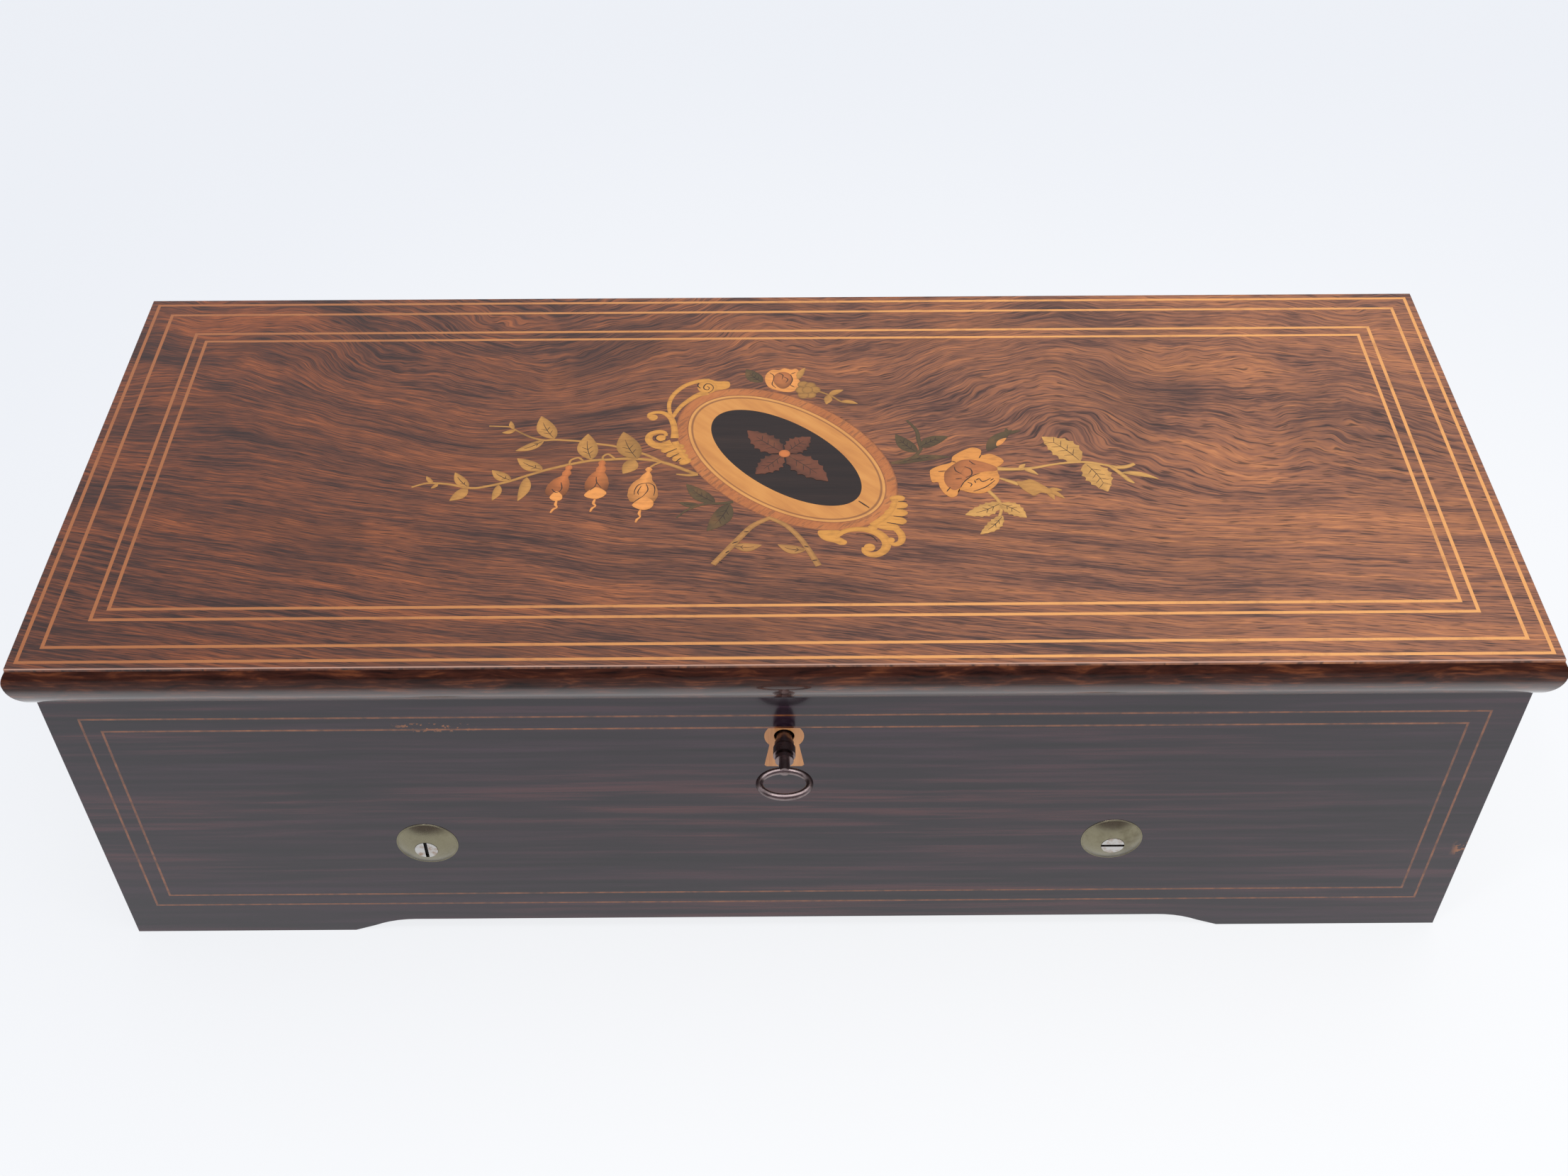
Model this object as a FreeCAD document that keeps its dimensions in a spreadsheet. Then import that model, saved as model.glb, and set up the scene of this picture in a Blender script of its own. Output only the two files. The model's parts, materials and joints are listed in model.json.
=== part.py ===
import FreeCAD, Part
import math
import os
import re
import Sketcher

# Cylinder music box. Millimetres, +X along the case, -Y the front with the keyhole, +Z up.
# The origin lies on the table under the middle of the whole outline, key and hinges included.

os.makedirs("parts", exist_ok=True)
doc = FreeCAD.newDocument("cylinder_music_box")
sheet = doc.addObject("Spreadsheet::Sheet", "Sheet")
aliases = set()
nodes = []

SIZES = [
    ("case_w", 480, "length of the case"),
    ("case_d", 190, "depth of the case"),
    ("case_h", 129.6, "height of the case without its lid"),
    ("board_t", 10, "thickness of the four outer boards"),
    ("foot_h", 6.7, "height of the cut-out between the feet"),
    ("foot_len", 80.5, "length of a foot along the front"),
    ("end_foot", 40, "length of a foot along an end"),
    ("ogee_len", 23, "length of the sloping end of a cut-out"),
    ("base_t", 8, "thickness of the base board"),
    ("base_up", 1.5, "base board above the cut-out"),
    ("part_t", 6, "thickness of a partition"),
    ("left_bay", 50, "width of the winding compartment"),
    ("right_bay", 56, "width of the lever compartment"),
    ("lid_t", 17.5, "thickness of the lid"),
    ("lid_gap", 0.4, "closing gap under the lid"),
    ("veneer_t", 1.2, "thickness of the lid's veneer"),
    ("arris", 3.7, "overhang of the lid's top edge"),
    ("nose", 5.6, "overhang of the moulding's nose"),
    ("nose_drop", 6, "nose below the lid's top"),
    ("mould_root", 1.8, "overhang of the moulding's foot"),
    ("mould_w", 14, "width of the moulding inside the case's outline"),
    ("over", 2, "reach of a cutting tool past what it cuts"),
    ("inlay_t", 0.7, "thickness of every inlay"),
    ("string_w", 1.2, "width of the lid's stringing"),
    ("line_1", 3, "first lid line from the edge"),
    ("line_2", 9.4, "second lid line from the edge"),
    ("line_3", 21.4, "third lid line from the edge"),
    ("line_4", 26.1, "fourth lid line from the edge"),
    ("front_string_w", 0.8, "width of the front's stringing"),
    ("front_side", 10.9, "front's outer line from the case's end"),
    ("front_top", 10.3, "front's outer line from the case's top"),
    ("front_foot", 16.5, "front's outer line from the table"),
    ("front_step", 6, "distance between the front's two lines"),
    ("oval_x", 0.5, "oval's centre along the lid"),
    ("oval_y", 0.6, "oval's centre across the lid"),
    ("oval_major", 46, "half length of the oval"),
    ("oval_minor", 29.2, "half width of the oval"),
    ("oval_tilt", -44.3, "tilt of the oval in degrees"),
    ("oval_ring_1", 4.4, "width of the oval's outer ring"),
    ("oval_ring_2", 8.5, "width of the oval's inner ring"),
    ("lock_x", -0.5, "keyhole along the front"),
    ("key_drop", 20.7, "keyhole below the case's top"),
    ("keyhole_r", 3.4, "round part of the keyhole"),
    ("keyhole_slot", 1.6, "half width of the keyhole's slot"),
    ("keyhole_drop", 10, "keyhole's slot below its middle"),
    ("plate_r", 6.55, "round part of the escutcheon"),
    ("plate_drop", 15.4, "escutcheon's bottom below the keyhole"),
    ("plate_waist", 4.9, "half width of the escutcheon's waist"),
    ("plate_foot", 6.6, "half width of the escutcheon's foot"),
    ("plate_corner", 0.7, "cut corners of the escutcheon's foot"),
    ("lock_w", 48, "width of the lock"),
    ("lock_d", 9, "depth of the lock"),
    ("lock_drop", 18, "lock's bottom below the keyhole"),
    ("lock_wall", 1.2, "thickness of the lock's plates"),
    ("lock_top", 0.3, "lock below the case's top"),
    ("link_half", 22, "half length of the link plate"),
    ("link_w", 6, "width of the link plate"),
    ("link_t", 1.5, "thickness of the link plate"),
    ("hook_x", 12, "link plate's hooks from the keyhole"),
    ("hook_t", 2.5, "thickness of a hook"),
    ("hook_w", 3, "width of a hook"),
    ("hook_end", 2.8, "hook below its eye"),
    ("hook_gap", 0.6, "room round a hook in the lock"),
    ("eye_r", 1.4, "eye of a hook"),
    ("eye_drop", 5.4, "eyes below the case's top"),
    ("bolt_drop", 5.6, "bolt's bar below the eyes"),
    ("bolt_h", 2, "height of the bolt's bar"),
    ("bolt_t", 2.4, "thickness of the bolt"),
    ("bolt_arm", 2.5, "width of a bolt's arm"),
    ("bolt_back", 5, "back of a bolt's arm from its hook"),
    ("nib_r", 0.9, "bolt's round nibs"),
    ("key_r", 2.6, "key's shank"),
    ("key_reach", 26.5, "key in front of the case"),
    ("bow_half_w", 8.1, "half width of the bow's centre line"),
    ("bow_half_d", 5.4, "half depth of the bow's centre line"),
    ("bow_wire", 1.15, "radius of the bow's wire"),
    ("neck_r", 1.8, "key's neck"),
    ("rim_at", 4.6, "key's rim in front of the case"),
    ("rim_r", 3.2, "key's rim"),
    ("rim_w", 1.6, "width of the key's rim"),
    ("bead_at", 8.4, "key's bead in front of the case"),
    ("bead_r", 3.65, "key's bead"),
    ("bead_w", 3.2, "width of the key's bead"),
    ("ring_at", 10.6, "key's ring in front of the case"),
    ("ring_r", 3, "key's ring"),
    ("ring_w", 1.4, "width of the key's ring"),
    ("bit_len", 7, "length of the key's bit"),
    ("bit_t", 2, "thickness of the bit"),
    ("bit_gap", 1, "bit from the lock's plates"),
    ("knuckle_r", 2.4, "lid hinge's knuckle"),
    ("pin_r", 1.2, "lid hinge's pin"),
    ("hinge_gap", 0.4, "knuckles from the back board"),
    ("knuckle_gap", 0.3, "between two knuckles"),
    ("hinge_inset", 90, "middle of a lid hinge from the case's end"),
    ("hinge_len", 50, "length of a lid hinge"),
    ("leaf_t", 1.2, "thickness of a hinge leaf"),
    ("leaf_w", 8, "width of a hinge leaf"),
    ("fit", 0.05, "radial clearance of a running fit"),
    ("bed_t", 7, "thickness of the bedplate"),
    ("hole_gap", 0.2, "clearance of a screw's hole in the case"),
    ("hole_end", 1, "screw's hole past its end"),
    ("bed_left", 4, "bedplate from the left partition"),
    ("bed_right", 10, "bedplate from the right partition"),
    ("screw_left", 48.4, "left bedplate screw from the left partition"),
    ("screw_right", 53.9, "right bedplate screw from the right partition"),
    ("shank_r", 2.2, "bedplate screw's shank"),
    ("shank_in", 16, "bedplate screw's length in the bedplate"),
    ("head_r", 4, "bedplate screw's head"),
    ("head_t", 2, "height of the bedplate screw's head"),
    ("head_sink", 0.35, "screw's head below the washer's crown"),
    ("slot_w", 1.2, "screw slot"),
    ("slot_d", 0.8, "depth of a screw's slot"),
    ("washer_r", 10.65, "domed washer"),
    ("dome_h", 3.4, "height of the domed washer"),
    ("washer_gap", 0.1, "washer round its screw"),
    ("left_room", 75, "cylinder from the left partition"),
    ("right_room", 69, "cylinder from the right partition"),
    ("cyl_r", 26, "radius of the cylinder"),
    ("cyl_y", 8, "cylinder's axis behind the middle of the case"),
    ("cyl_up", 34, "cylinder's axis above the bedplate"),
    ("head_room", 2.6, "glass lid above the cylinder"),
    ("shell_t", 1, "thickness of the cylinder's tube"),
    ("cap_t", 4, "thickness of the cylinder's end caps"),
    ("arbor_r", 3, "cylinder's arbor"),
    ("arbor_end", 1.5, "arbor's end past its last piece"),
    ("arbor_gap", 0.4, "barrel's arbor in the partition"),
    ("pin_h", 0.9, "height of the cylinder's pins"),
    ("cock_t", 6, "thickness of a bearing cock"),
    ("cock_gap", 5, "bearing cock from the cylinder"),
    ("boss_r", 11, "round head of a bearing cock"),
    ("web_h", 14, "web between the left cock's posts"),
    ("arm_end", 8, "right cock's arm round the lever shafts"),
    ("module_1", 0.8, "module of the drive wheels"),
    ("module_2", 0.6, "module of the governor's wheels"),
    ("barrel_teeth", 60, "teeth of the spring barrel"),
    ("pinion_teeth", 20, "teeth of the cylinder's pinion"),
    ("great_teeth", 60, "teeth of the great wheel"),
    ("leaf_teeth", 12, "leaves of both governor pinions"),
    ("first_teeth", 36, "teeth of the first governor wheel"),
    ("second_teeth", 24, "teeth of the worm wheel"),
    ("tooth_slack", 0.14, "thinning of every tooth"),
    ("pinion_w", 6, "width of the cylinder's pinion"),
    ("side_gap", 3, "space beside a wheel"),
    ("wheel_inset", 1, "step at each side between a wheel and its pinion"),
    ("barrel_dip", 8, "barrel below the cylinder in degrees"),
    ("drum_len", 40, "length of the barrel's drum"),
    ("drum_r", 22.5, "radius of the barrel's drum"),
    ("drum_t", 1.5, "wall of the barrel's drum"),
    ("cover_t", 3, "thickness of the barrel's cover"),
    ("wind_r", 4, "barrel's arbor"),
    ("spring_t", 0.8, "thickness of the mainspring"),
    ("spring_turns", 6, "turns of the mainspring"),
    ("spring_gap", 0.5, "mainspring from the arbor"),
    ("spring_fit", 0.02, "mainspring from the drum's wall"),
    ("spring_side", 1, "mainspring from the drum's ends"),
    ("ratchet_r", 16, "ratchet wheel"),
    ("ratchet_t", 3, "thickness of the ratchet wheel"),
    ("ratchet_teeth", 24, "teeth of the ratchet wheel"),
    ("ratchet_tooth", 1.6, "depth of a ratchet tooth"),
    ("ratchet_off", 1.5, "ratchet wheel from the partition"),
    ("click_back", 8, "click's stud behind the barrel's axis"),
    ("click_up", 8, "click's stud above the ratchet wheel"),
    ("click_out", 8.5, "click's point in front of its stud"),
    ("click_down", 7.6, "click's point below its stud"),
    ("click_half", 3, "half width of the click"),
    ("click_short", 0.5, "click's stud short of the partition's face"),
    ("pawl_gap", 0.3, "drive pawl from the ratchet wheel"),
    ("pawl_len", 12, "drive pawl's back from the ratchet wheel"),
    ("pawl_half", 3, "half width of the drive pawl"),
    ("pawl_in", 10, "drive pawl's stud from the ratchet wheel"),
    ("lever_len", 78, "winding lever from axis to handle"),
    ("lever_rest", 35, "winding lever's rest below level in degrees"),
    ("lever_t", 5, "thickness of the winding lever"),
    ("lever_root", 7, "half width of the winding lever at its hub"),
    ("lever_tip", 5, "half width of the winding lever at its handle"),
    ("lever_hub", 10, "winding lever's hub"),
    ("lever_eye", 1, "winding lever round its handle"),
    ("wind_end", 4, "barrel's arbor past the winding lever"),
    ("lever_off", 10, "winding lever from the partition"),
    ("handle_r", 6, "winding lever's handle"),
    ("handle_len", 24, "length of the handle"),
    ("great_off", 10, "great wheel from the cylinder"),
    ("great_t", 3, "thickness of the great wheel"),
    ("snail_r", 9, "radius of the tune snail"),
    ("snail_off", 14, "snail's stud from the arbor"),
    ("snail_step", 0.4, "height of one step of the snail"),
    ("snail_tunes", 8, "steps of the snail"),
    ("snail_foot", 0.6, "snail below its lowest step"),
    ("snail_gap", 0.2, "snail from the great wheel"),
    ("stud_r", 1.5, "snail's stud"),
    ("feeler_r", 1, "cylinder's feeler"),
    ("feeler_up", 6, "feeler from the snail's stud"),
    ("feeler_gap", 0.4, "feeler from the snail"),
    ("first_dip", 20, "first governor arbor below the cylinder in degrees"),
    ("second_rise", 35, "second governor arbor above the first in degrees"),
    ("gov_gap", 2, "governor from the right cock"),
    ("gov_len", 30, "length of the governor's frame"),
    ("gov_h", 46, "height of the governor's frame"),
    ("gov_plate", 4, "thickness of the governor's plates"),
    ("gov_side", 9, "governor's plates past its arbors"),
    ("bridge_half", 5, "half width of the governor's bridge"),
    ("gov_in", 4, "first wheel from the governor's left plate"),
    ("gov_wheel_t", 2, "thickness of the first wheel"),
    ("worm_wheel_t", 1.6, "thickness of the worm wheel"),
    ("pivot_wall", 1, "metal under the endless screw's pivots"),
    ("end_shake", 0.2, "end play of the endless screw"),
    ("gov_arbor_r", 1.5, "governor's arbors"),
    ("worm_pitch_r", 2.2, "pitch radius of the endless screw"),
    ("worm_core_r", 1.4, "core of the endless screw"),
    ("worm_out_r", 2.65, "outside of the endless screw"),
    ("worm_in", 14, "endless screw from the governor's left plate"),
    ("worm_len", 14, "length of the endless screw's core"),
    ("worm_turns", 5, "turns of the endless screw"),
    ("thread_root", 0.42, "half width of the thread at its root"),
    ("thread_tip", 0.15, "half width of the thread at its tip"),
    ("thread_sink", 0.1, "thread's root inside the core"),
    ("worm_shaft_r", 1, "endless screw's shaft"),
    ("fly_r", 7, "reach of the fly's wings"),
    ("fly_h", 13, "height of the fly's wings"),
    ("fly_up", 7, "fly above the bedplate"),
    ("fly_hub_r", 2.2, "fly's hub"),
    ("wing_t", 0.8, "thickness of the fly's wings"),
    ("comb_front", 7, "comb from the front board"),
    ("comb_drop", 3, "comb's underside below the cylinder's axis"),
    ("comb_t", 2.6, "thickness of the comb"),
    ("comb_body", 18.7, "comb and its base in front of the longest tooth"),
    ("comb_in", 3, "comb from the cylinder's end"),
    ("tip_gap", 0.4, "comb's tips from the cylinder's pins"),
    ("comb_teeth", 60, "teeth of the comb"),
    ("comb_slot", 0.6, "slot between two teeth"),
    ("treble_share", 0.55, "highest tooth's share of the lowest one's length"),
    ("comb_screw_count", 7, "comb screws"),
    ("comb_screw_r", 1.8, "comb screw's shank"),
    ("comb_screw_in", 12, "comb screw's length in the base"),
    ("comb_head_r", 3.5, "comb screw's head"),
    ("comb_head_t", 2.5, "height of a comb screw's head"),
    ("stop_y", -24, "start lever's shaft"),
    ("change_y", -40, "change lever's shaft"),
    ("shaft_up", 9, "lever shafts above the bedplate"),
    ("shaft_r", 2, "lever shafts"),
    ("start_x", 14, "start lever from the right partition"),
    ("change_x", 34, "change lever from the right partition"),
    ("tall", 46, "height of a control lever above its shaft"),
    ("blade_t", 3, "thickness of a control lever"),
    ("blade_root", 4, "half width of a control lever at its shaft"),
    ("blade_tip", 2.5, "half width of a control lever at its knob"),
    ("knob_r", 4.5, "control lever's knob"),
    ("knob_len", 8, "length of the knob"),
    ("finger_t", 2.6, "thickness of a lever's finger"),
    ("finger_root", 2.5, "half width of a finger at its shaft"),
    ("finger_tip", 1.2, "half width of a finger at its tip"),
    ("stop_gap", 0.5, "start lever's finger from the great wheel"),
    ("change_gap", 1.2, "change lever's finger from the snail"),
    ("change_in", 3.4, "change lever's finger from the great wheel's face"),
    ("glass_drop", 11, "glass lid below the case's top"),
    ("rail_t", 6, "thickness of the glass lid's frame"),
    ("rail_w", 16, "width of the glass lid's frame"),
    ("frame_gap", 0.6, "glass lid from the partitions"),
    ("frame_back", 2, "glass lid from the back board"),
    ("frame_front", 1, "glass lid from the lock"),
    ("rebate", 4, "glass let into its frame"),
    ("ledge_h", 6, "height of the glass lid's ledge"),
    ("ledge_gap", 0.3, "glass lid above its ledge"),
    ("ledge_in", 6, "ledge behind the lock"),
    ("pane_t", 2, "thickness of the glass"),
    ("pane_up", 2, "glass above its frame's underside"),
    ("pivot_r", 1.5, "glass lid's pivots"),
    ("pivot_in", 8, "glass lid's pivots from the back board"),
    ("pivot_out", 5, "pivot's reach beside the glass lid"),
    ("pivot_len", 11, "length of a pivot"),
    ("card_w", 150, "width of the tune card"),
    ("card_d", 100, "depth of the tune card"),
    ("card_t", 0.5, "thickness of the tune card"),
]
for row, (alias, value, note) in enumerate(SIZES, start=1):
    sheet.set("A%d" % row, note)
    sheet.set("B%d" % row, str(value))
    sheet.setAlias("B%d" % row, alias)
    aliases.add(alias)
doc.recompute()

# Places that several pieces share, all measured from the middle of the case.
FRONT = "(-case_d/2)"
BACK = "(case_d/2)"
IN_FRONT = "(-case_d/2 + board_t)"
IN_BACK = "(case_d/2 - board_t)"
IN_LEFT = "(-case_w/2 + board_t)"
IN_RIGHT = "(case_w/2 - board_t)"
BASE_TOP = "(foot_h + base_up + base_t)"
LEFT_WALL = "(-case_w/2 + board_t + left_bay + part_t)"
RIGHT_WALL = "(case_w/2 - board_t - right_bay - part_t)"
LID_Z = "(case_h + lid_gap)"
TOP = "(case_h + lid_gap + lid_t)"
VENEER_Z = "(case_h + lid_gap + lid_t - veneer_t)"
HINGE_X = "(case_w/2 - hinge_inset)"
HINGE_Y = "(case_d/2 + knuckle_r + hinge_gap)"
HINGE_Z = "(case_h + lid_gap/2)"
Y_SHIFT = "((key_reach - (2*knuckle_r + hinge_gap))/2)"
NOTCH = "(case_w/2 - foot_len - ogee_len)"
END_NOTCH = "(case_d/2 - end_foot - ogee_len)"
KEY_Z = "(case_h - key_drop)"
GLASS_Z = "(case_h - glass_drop)"
GLASS_0 = "(%s + lock_d + frame_front)" % IN_FRONT
GLASS_TOP = "(%s + rail_t)" % GLASS_Z
PIVOT_Y = "(%s - pivot_in)" % IN_BACK
PIVOT_Z = "(%s + rail_t/2)" % GLASS_Z
HOOK_Y = "(%s + lock_d/2)" % IN_FRONT
EYE_Z = "(case_h - eye_drop)"
CYL_Z = "(%s - head_room - cyl_r)" % GLASS_Z
CYL_0 = "(%s + left_room)" % LEFT_WALL
CYL_1 = "(%s - right_room)" % RIGHT_WALL
CYL_LEN = "(%s - %s)" % (CYL_1, CYL_0)
BED_TOP = "(%s - cyl_up)" % CYL_Z
BED_Z = "(%s - bed_t/2)" % BED_TOP
SCREW_L = "(%s + screw_left)" % LEFT_WALL
SCREW_R = "(%s - screw_right)" % RIGHT_WALL
BARREL_C = "((barrel_teeth + pinion_teeth)*module_1/2)"
BARREL_Y = "(cyl_y + %s*cos(barrel_dip*1deg))" % BARREL_C
BARREL_Z = "(%s - %s*sin(barrel_dip*1deg))" % (CYL_Z, BARREL_C)
COCK_L = "(%s - cock_gap)" % CYL_0
PINION_1 = "(%s - cock_t - side_gap)" % COCK_L
DRUM_1 = "(%s - pinion_w + wheel_inset)" % PINION_1
DRUM_0 = "(%s - drum_len)" % DRUM_1
RATCHET_1 = "(%s - part_t - ratchet_off)" % LEFT_WALL
RATCHET_0 = "(%s - ratchet_t)" % RATCHET_1
CLICK_Y = "(%s + click_back)" % BARREL_Y
CLICK_Z = "(%s + ratchet_r + click_up)" % BARREL_Z
LEVER_1 = "(%s - part_t - lever_off)" % LEFT_WALL
LEVER_0 = "(%s - lever_t)" % LEVER_1
GREAT_0 = "(%s + great_off)" % CYL_1
GREAT_1 = "(%s + great_t)" % GREAT_0
SNAIL_Z = "(%s + snail_off)" % CYL_Z
SNAIL_H = "(snail_step*snail_tunes + snail_foot)"
COCK_R = "(%s + side_gap)" % GREAT_1
GOV_0 = "(%s + cock_t + gov_gap)" % COCK_R
GOV_1 = "(%s + gov_len)" % GOV_0
GOV_TOP = "(%s + gov_h)" % BED_TOP
FIRST_C = "((great_teeth + leaf_teeth)*module_1/2)"
FIRST_Y = "(cyl_y + %s*cos(first_dip*1deg))" % FIRST_C
FIRST_Z = "(%s - %s*sin(first_dip*1deg))" % (CYL_Z, FIRST_C)
SECOND_C = "((first_teeth + leaf_teeth)*module_2/2)"
SECOND_Y = "(%s + %s*cos(second_rise*1deg))" % (FIRST_Y, SECOND_C)
SECOND_Z = "(%s + %s*sin(second_rise*1deg))" % (FIRST_Z, SECOND_C)
WORM_X = "(%s + gov_plate + worm_in)" % GOV_0
WORM_Y = "(%s + second_teeth*module_2/2 + worm_pitch_r)" % SECOND_Y
SHAFT_Z = "(%s + shaft_up)" % BED_TOP
COMB_Z = "(%s - comb_drop)" % CYL_Z
COMB_Y = "(%s + comb_front)" % IN_FRONT
COMB_TIP = "(cyl_y - cyl_r - pin_h - tip_gap)"
COMB_0 = "(%s + comb_in)" % CYL_0
COMB_1 = "(%s - comb_in)" % CYL_1
TOOTH_LONG = "(%s - %s - comb_body)" % (COMB_TIP, COMB_Y)
OGEE_RUN = 0.67
OGEE_RISE = 0.44
ADDENDUM = 0.7
DEDENDUM = 1.2
PRESSURE = math.radians(20)

V = FreeCAD.Vector
ALONG = {
    "x": FreeCAD.Rotation(V(0, 1, 0), 90),
    "y": FreeCAD.Rotation(V(1, 0, 0), -90),
    "z": FreeCAD.Rotation(),
}


def val(text):
    """The number an expression of sheet aliases stands for."""
    found = sheet.evalExpression(text)
    return float(getattr(found, "Value", found))


def bind(obj, prop, text):
    """Tie a property to an expression of sheet aliases."""
    whole = re.sub(r"[A-Za-z_]\w*", lambda w: ("Sheet." if w[0] in aliases else "") + w[0], text)
    obj.setExpression(prop, whole)


def set_base(obj, x, y, z):
    bind(obj, "Placement.Base.x", x)
    bind(obj, "Placement.Base.y", "%s + %s" % (y, Y_SHIFT))
    bind(obj, "Placement.Base.z", z)


def block(x0, x1, y0, y1, z0, z1):
    obj = doc.addObject("Part::Box", "block")
    bind(obj, "Length", "(%s) - (%s)" % (x1, x0))
    bind(obj, "Width", "(%s) - (%s)" % (y1, y0))
    bind(obj, "Height", "(%s) - (%s)" % (z1, z0))
    set_base(obj, x0, y0, z0)
    return obj


def rod(axis, radius, x, y, z, length):
    """A cylinder that starts at x, y, z and runs along one axis."""
    obj = doc.addObject("Part::Cylinder", "rod")
    obj.Placement = FreeCAD.Placement(V(), ALONG[axis])
    bind(obj, "Radius", radius)
    bind(obj, "Height", length)
    set_base(obj, x, y, z)
    return obj


def ball(radius, x, y, z):
    obj = doc.addObject("Part::Sphere", "ball")
    bind(obj, "Radius", radius)
    set_base(obj, x, y, z)
    return obj


def join(*solids):
    obj = doc.addObject("Part::MultiFuse", "join")
    obj.Shapes = list(solids)
    obj.Refine = True
    return obj


def less(base, *tools):
    obj = doc.addObject("Part::Cut", "less")
    obj.Base = base
    obj.Tool = tools[0] if len(tools) == 1 else join(*tools)
    return obj


def shared(first, second):
    obj = doc.addObject("Part::Common", "shared")
    obj.Base = first
    obj.Tool = second
    return obj


def group(*solids):
    obj = doc.addObject("Part::Compound", "group")
    obj.Links = list(solids)
    return obj


def node(label, obj):
    obj.Label = label
    nodes.append(obj)
    return obj


def plain(shape):
    """A piece whose shape is worked out in code, set where the shared frame wants it."""
    obj = doc.addObject("Part::Feature", "shape")
    placed = shape.Placement
    obj.Shape = shape
    obj.Placement = FreeCAD.Placement(V(0, val(Y_SHIFT), 0), FreeCAD.Rotation()).multiply(placed)
    return obj


def arc_middle(start, end, radius, turn):
    """The middle of the short arc from start to end; turn is 1 when it bends to the left."""
    chord = end - start
    half = chord.Length/2
    sag = radius - math.sqrt(max(radius*radius - half*half, 0))
    outward = V(chord.y, -chord.x, 0)
    outward.normalize()
    return (start + end)*0.5 + outward*(sag*turn)


def trace(sketch, outline):
    """Draw a closed outline of (u, v) or (u, v, arc radius, turn), each corner tied to the sheet."""
    corners = [V(val(c[0]), val(c[1]), 0) for c in outline]
    ends = []
    for i, corner in enumerate(outline):
        start = corners[i]
        end = corners[(i + 1) % len(corners)]
        if len(corner) == 2:
            sketch.addGeometry(Part.LineSegment(start, end))
            ends.append((1, 2))
            continue
        middle = arc_middle(start, end, val(corner[2]), corner[3])
        left = corner[3] > 0
        sketch.addGeometry(Part.Arc(start, middle, end) if left else Part.Arc(end, middle, start))
        ends.append((1, 2) if left else (2, 1))
    for i, corner in enumerate(outline):
        after = (i + 1) % len(outline)
        sketch.addConstraint(Sketcher.Constraint("Coincident", i, ends[i][1], after, ends[after][0]))
    for i, corner in enumerate(outline):
        places = (("DistanceX", corner[0], corners[i].x), ("DistanceY", corner[1], corners[i].y))
        for kind, text, at in places:
            index = sketch.addConstraint(Sketcher.Constraint(kind, -1, 1, i, ends[i][0], at))
            bind(sketch, "Constraints[%d]" % index, text)
        if len(corner) == 4:
            index = sketch.addConstraint(Sketcher.Constraint("Radius", i, val(corner[2])))
            bind(sketch, "Constraints[%d]" % index, corner[2])


def slab(plane, outline, x, y, z, thickness, turn=None):
    """A padded outline; it grows along the positive axis from x, y, z. turn tilts it in its plane."""
    body = doc.addObject("PartDesign::Body", "slab")
    sketch = body.newObject("Sketcher::SketchObject", "outline")
    role = plane + "_Plane"
    sketch.AttachmentSupport = [(next(o for o in body.Origin.OriginFeatures if o.Role == role), "")]
    sketch.MapMode = "FlatFace"
    trace(sketch, outline)
    pad = body.newObject("PartDesign::Pad", "pad")
    pad.Profile = sketch
    pad.Reversed = plane == "XZ"
    bind(pad, "Length", thickness)
    if turn:
        body.Placement = FreeCAD.Placement(V(), FreeCAD.Rotation(V(1, 0, 0), 1))
        bind(body, "Placement.Rotation.Angle", turn)
    set_base(body, x, y, z)
    return body


def frame_of(x0, x1, y0, y1, z0, z1, width, across):
    """A rectangular line of inlay, cut through along the axis it is seen from."""
    outer = block(x0, x1, y0, y1, z0, z1)
    if across == "z":
        inner = block("%s + %s" % (x0, width), "(%s - %s)" % (x1, width),
                      "%s + %s" % (y0, width), "(%s - %s)" % (y1, width), z0, z1)
    else:
        inner = block("%s + %s" % (x0, width), "(%s - %s)" % (x1, width),
                      y0, y1, "%s + %s" % (z0, width), "(%s - %s)" % (z1, width))
    return less(outer, inner)


def gear(teeth, module, phase, x, y, z, width):
    """A spur wheel on the X axis: straight-sided teeth through the involute at root, pitch and tip."""
    pitch_r = teeth*module/2
    base_r = pitch_r*math.cos(PRESSURE)
    radii = [pitch_r - DEDENDUM*module, pitch_r, pitch_r + ADDENDUM*module]
    at_pitch = (math.pi/2 - val("tooth_slack")/module)/teeth
    halves = []
    for radius in radii:
        slope = math.acos(base_r/max(radius, base_r))
        halves.append(at_pitch + math.tan(PRESSURE) - PRESSURE - math.tan(slope) + slope)
    corners = []
    for tooth in range(int(teeth)):
        middle = phase + 2*math.pi*tooth/teeth
        rising = list(zip(radii, [-h for h in halves]))
        falling = list(zip(reversed(radii), reversed(halves)))
        for radius, offset in rising + falling:
            angle = middle + offset
            corners.append(V(x, y + radius*math.cos(angle), z + radius*math.sin(angle)))
    outline = Part.makePolygon(corners + corners[:1])
    return plain(Part.Face(outline).extrude(V(width, 0, 0)))


# Case: four boards on bracket feet, the base board let in between them, two partitions.

def foot_line(left, right, half, low, high):
    """A board's outline with the cut-out along its bottom edge."""
    run = "%g*ogee_len" % OGEE_RUN
    rise = "%g*foot_h" % OGEE_RISE
    rest = "%g*foot_h" % (1 - OGEE_RISE)
    radius = "((%s)^2 + (%s)^2)/(2*%s)" % (run, rest, rest)
    return [
        (left, low),
        ("-%s - ogee_len" % half, low),
        ("-%s - %s" % (half, run), rise, radius, -1),
        ("-%s" % half, "foot_h"),
        (half, "foot_h", radius, -1),
        ("%s + %s" % (half, run), rise),
        ("%s + ogee_len" % half, low),
        (right, low),
        (right, high),
        (left, high),
    ]


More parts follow.
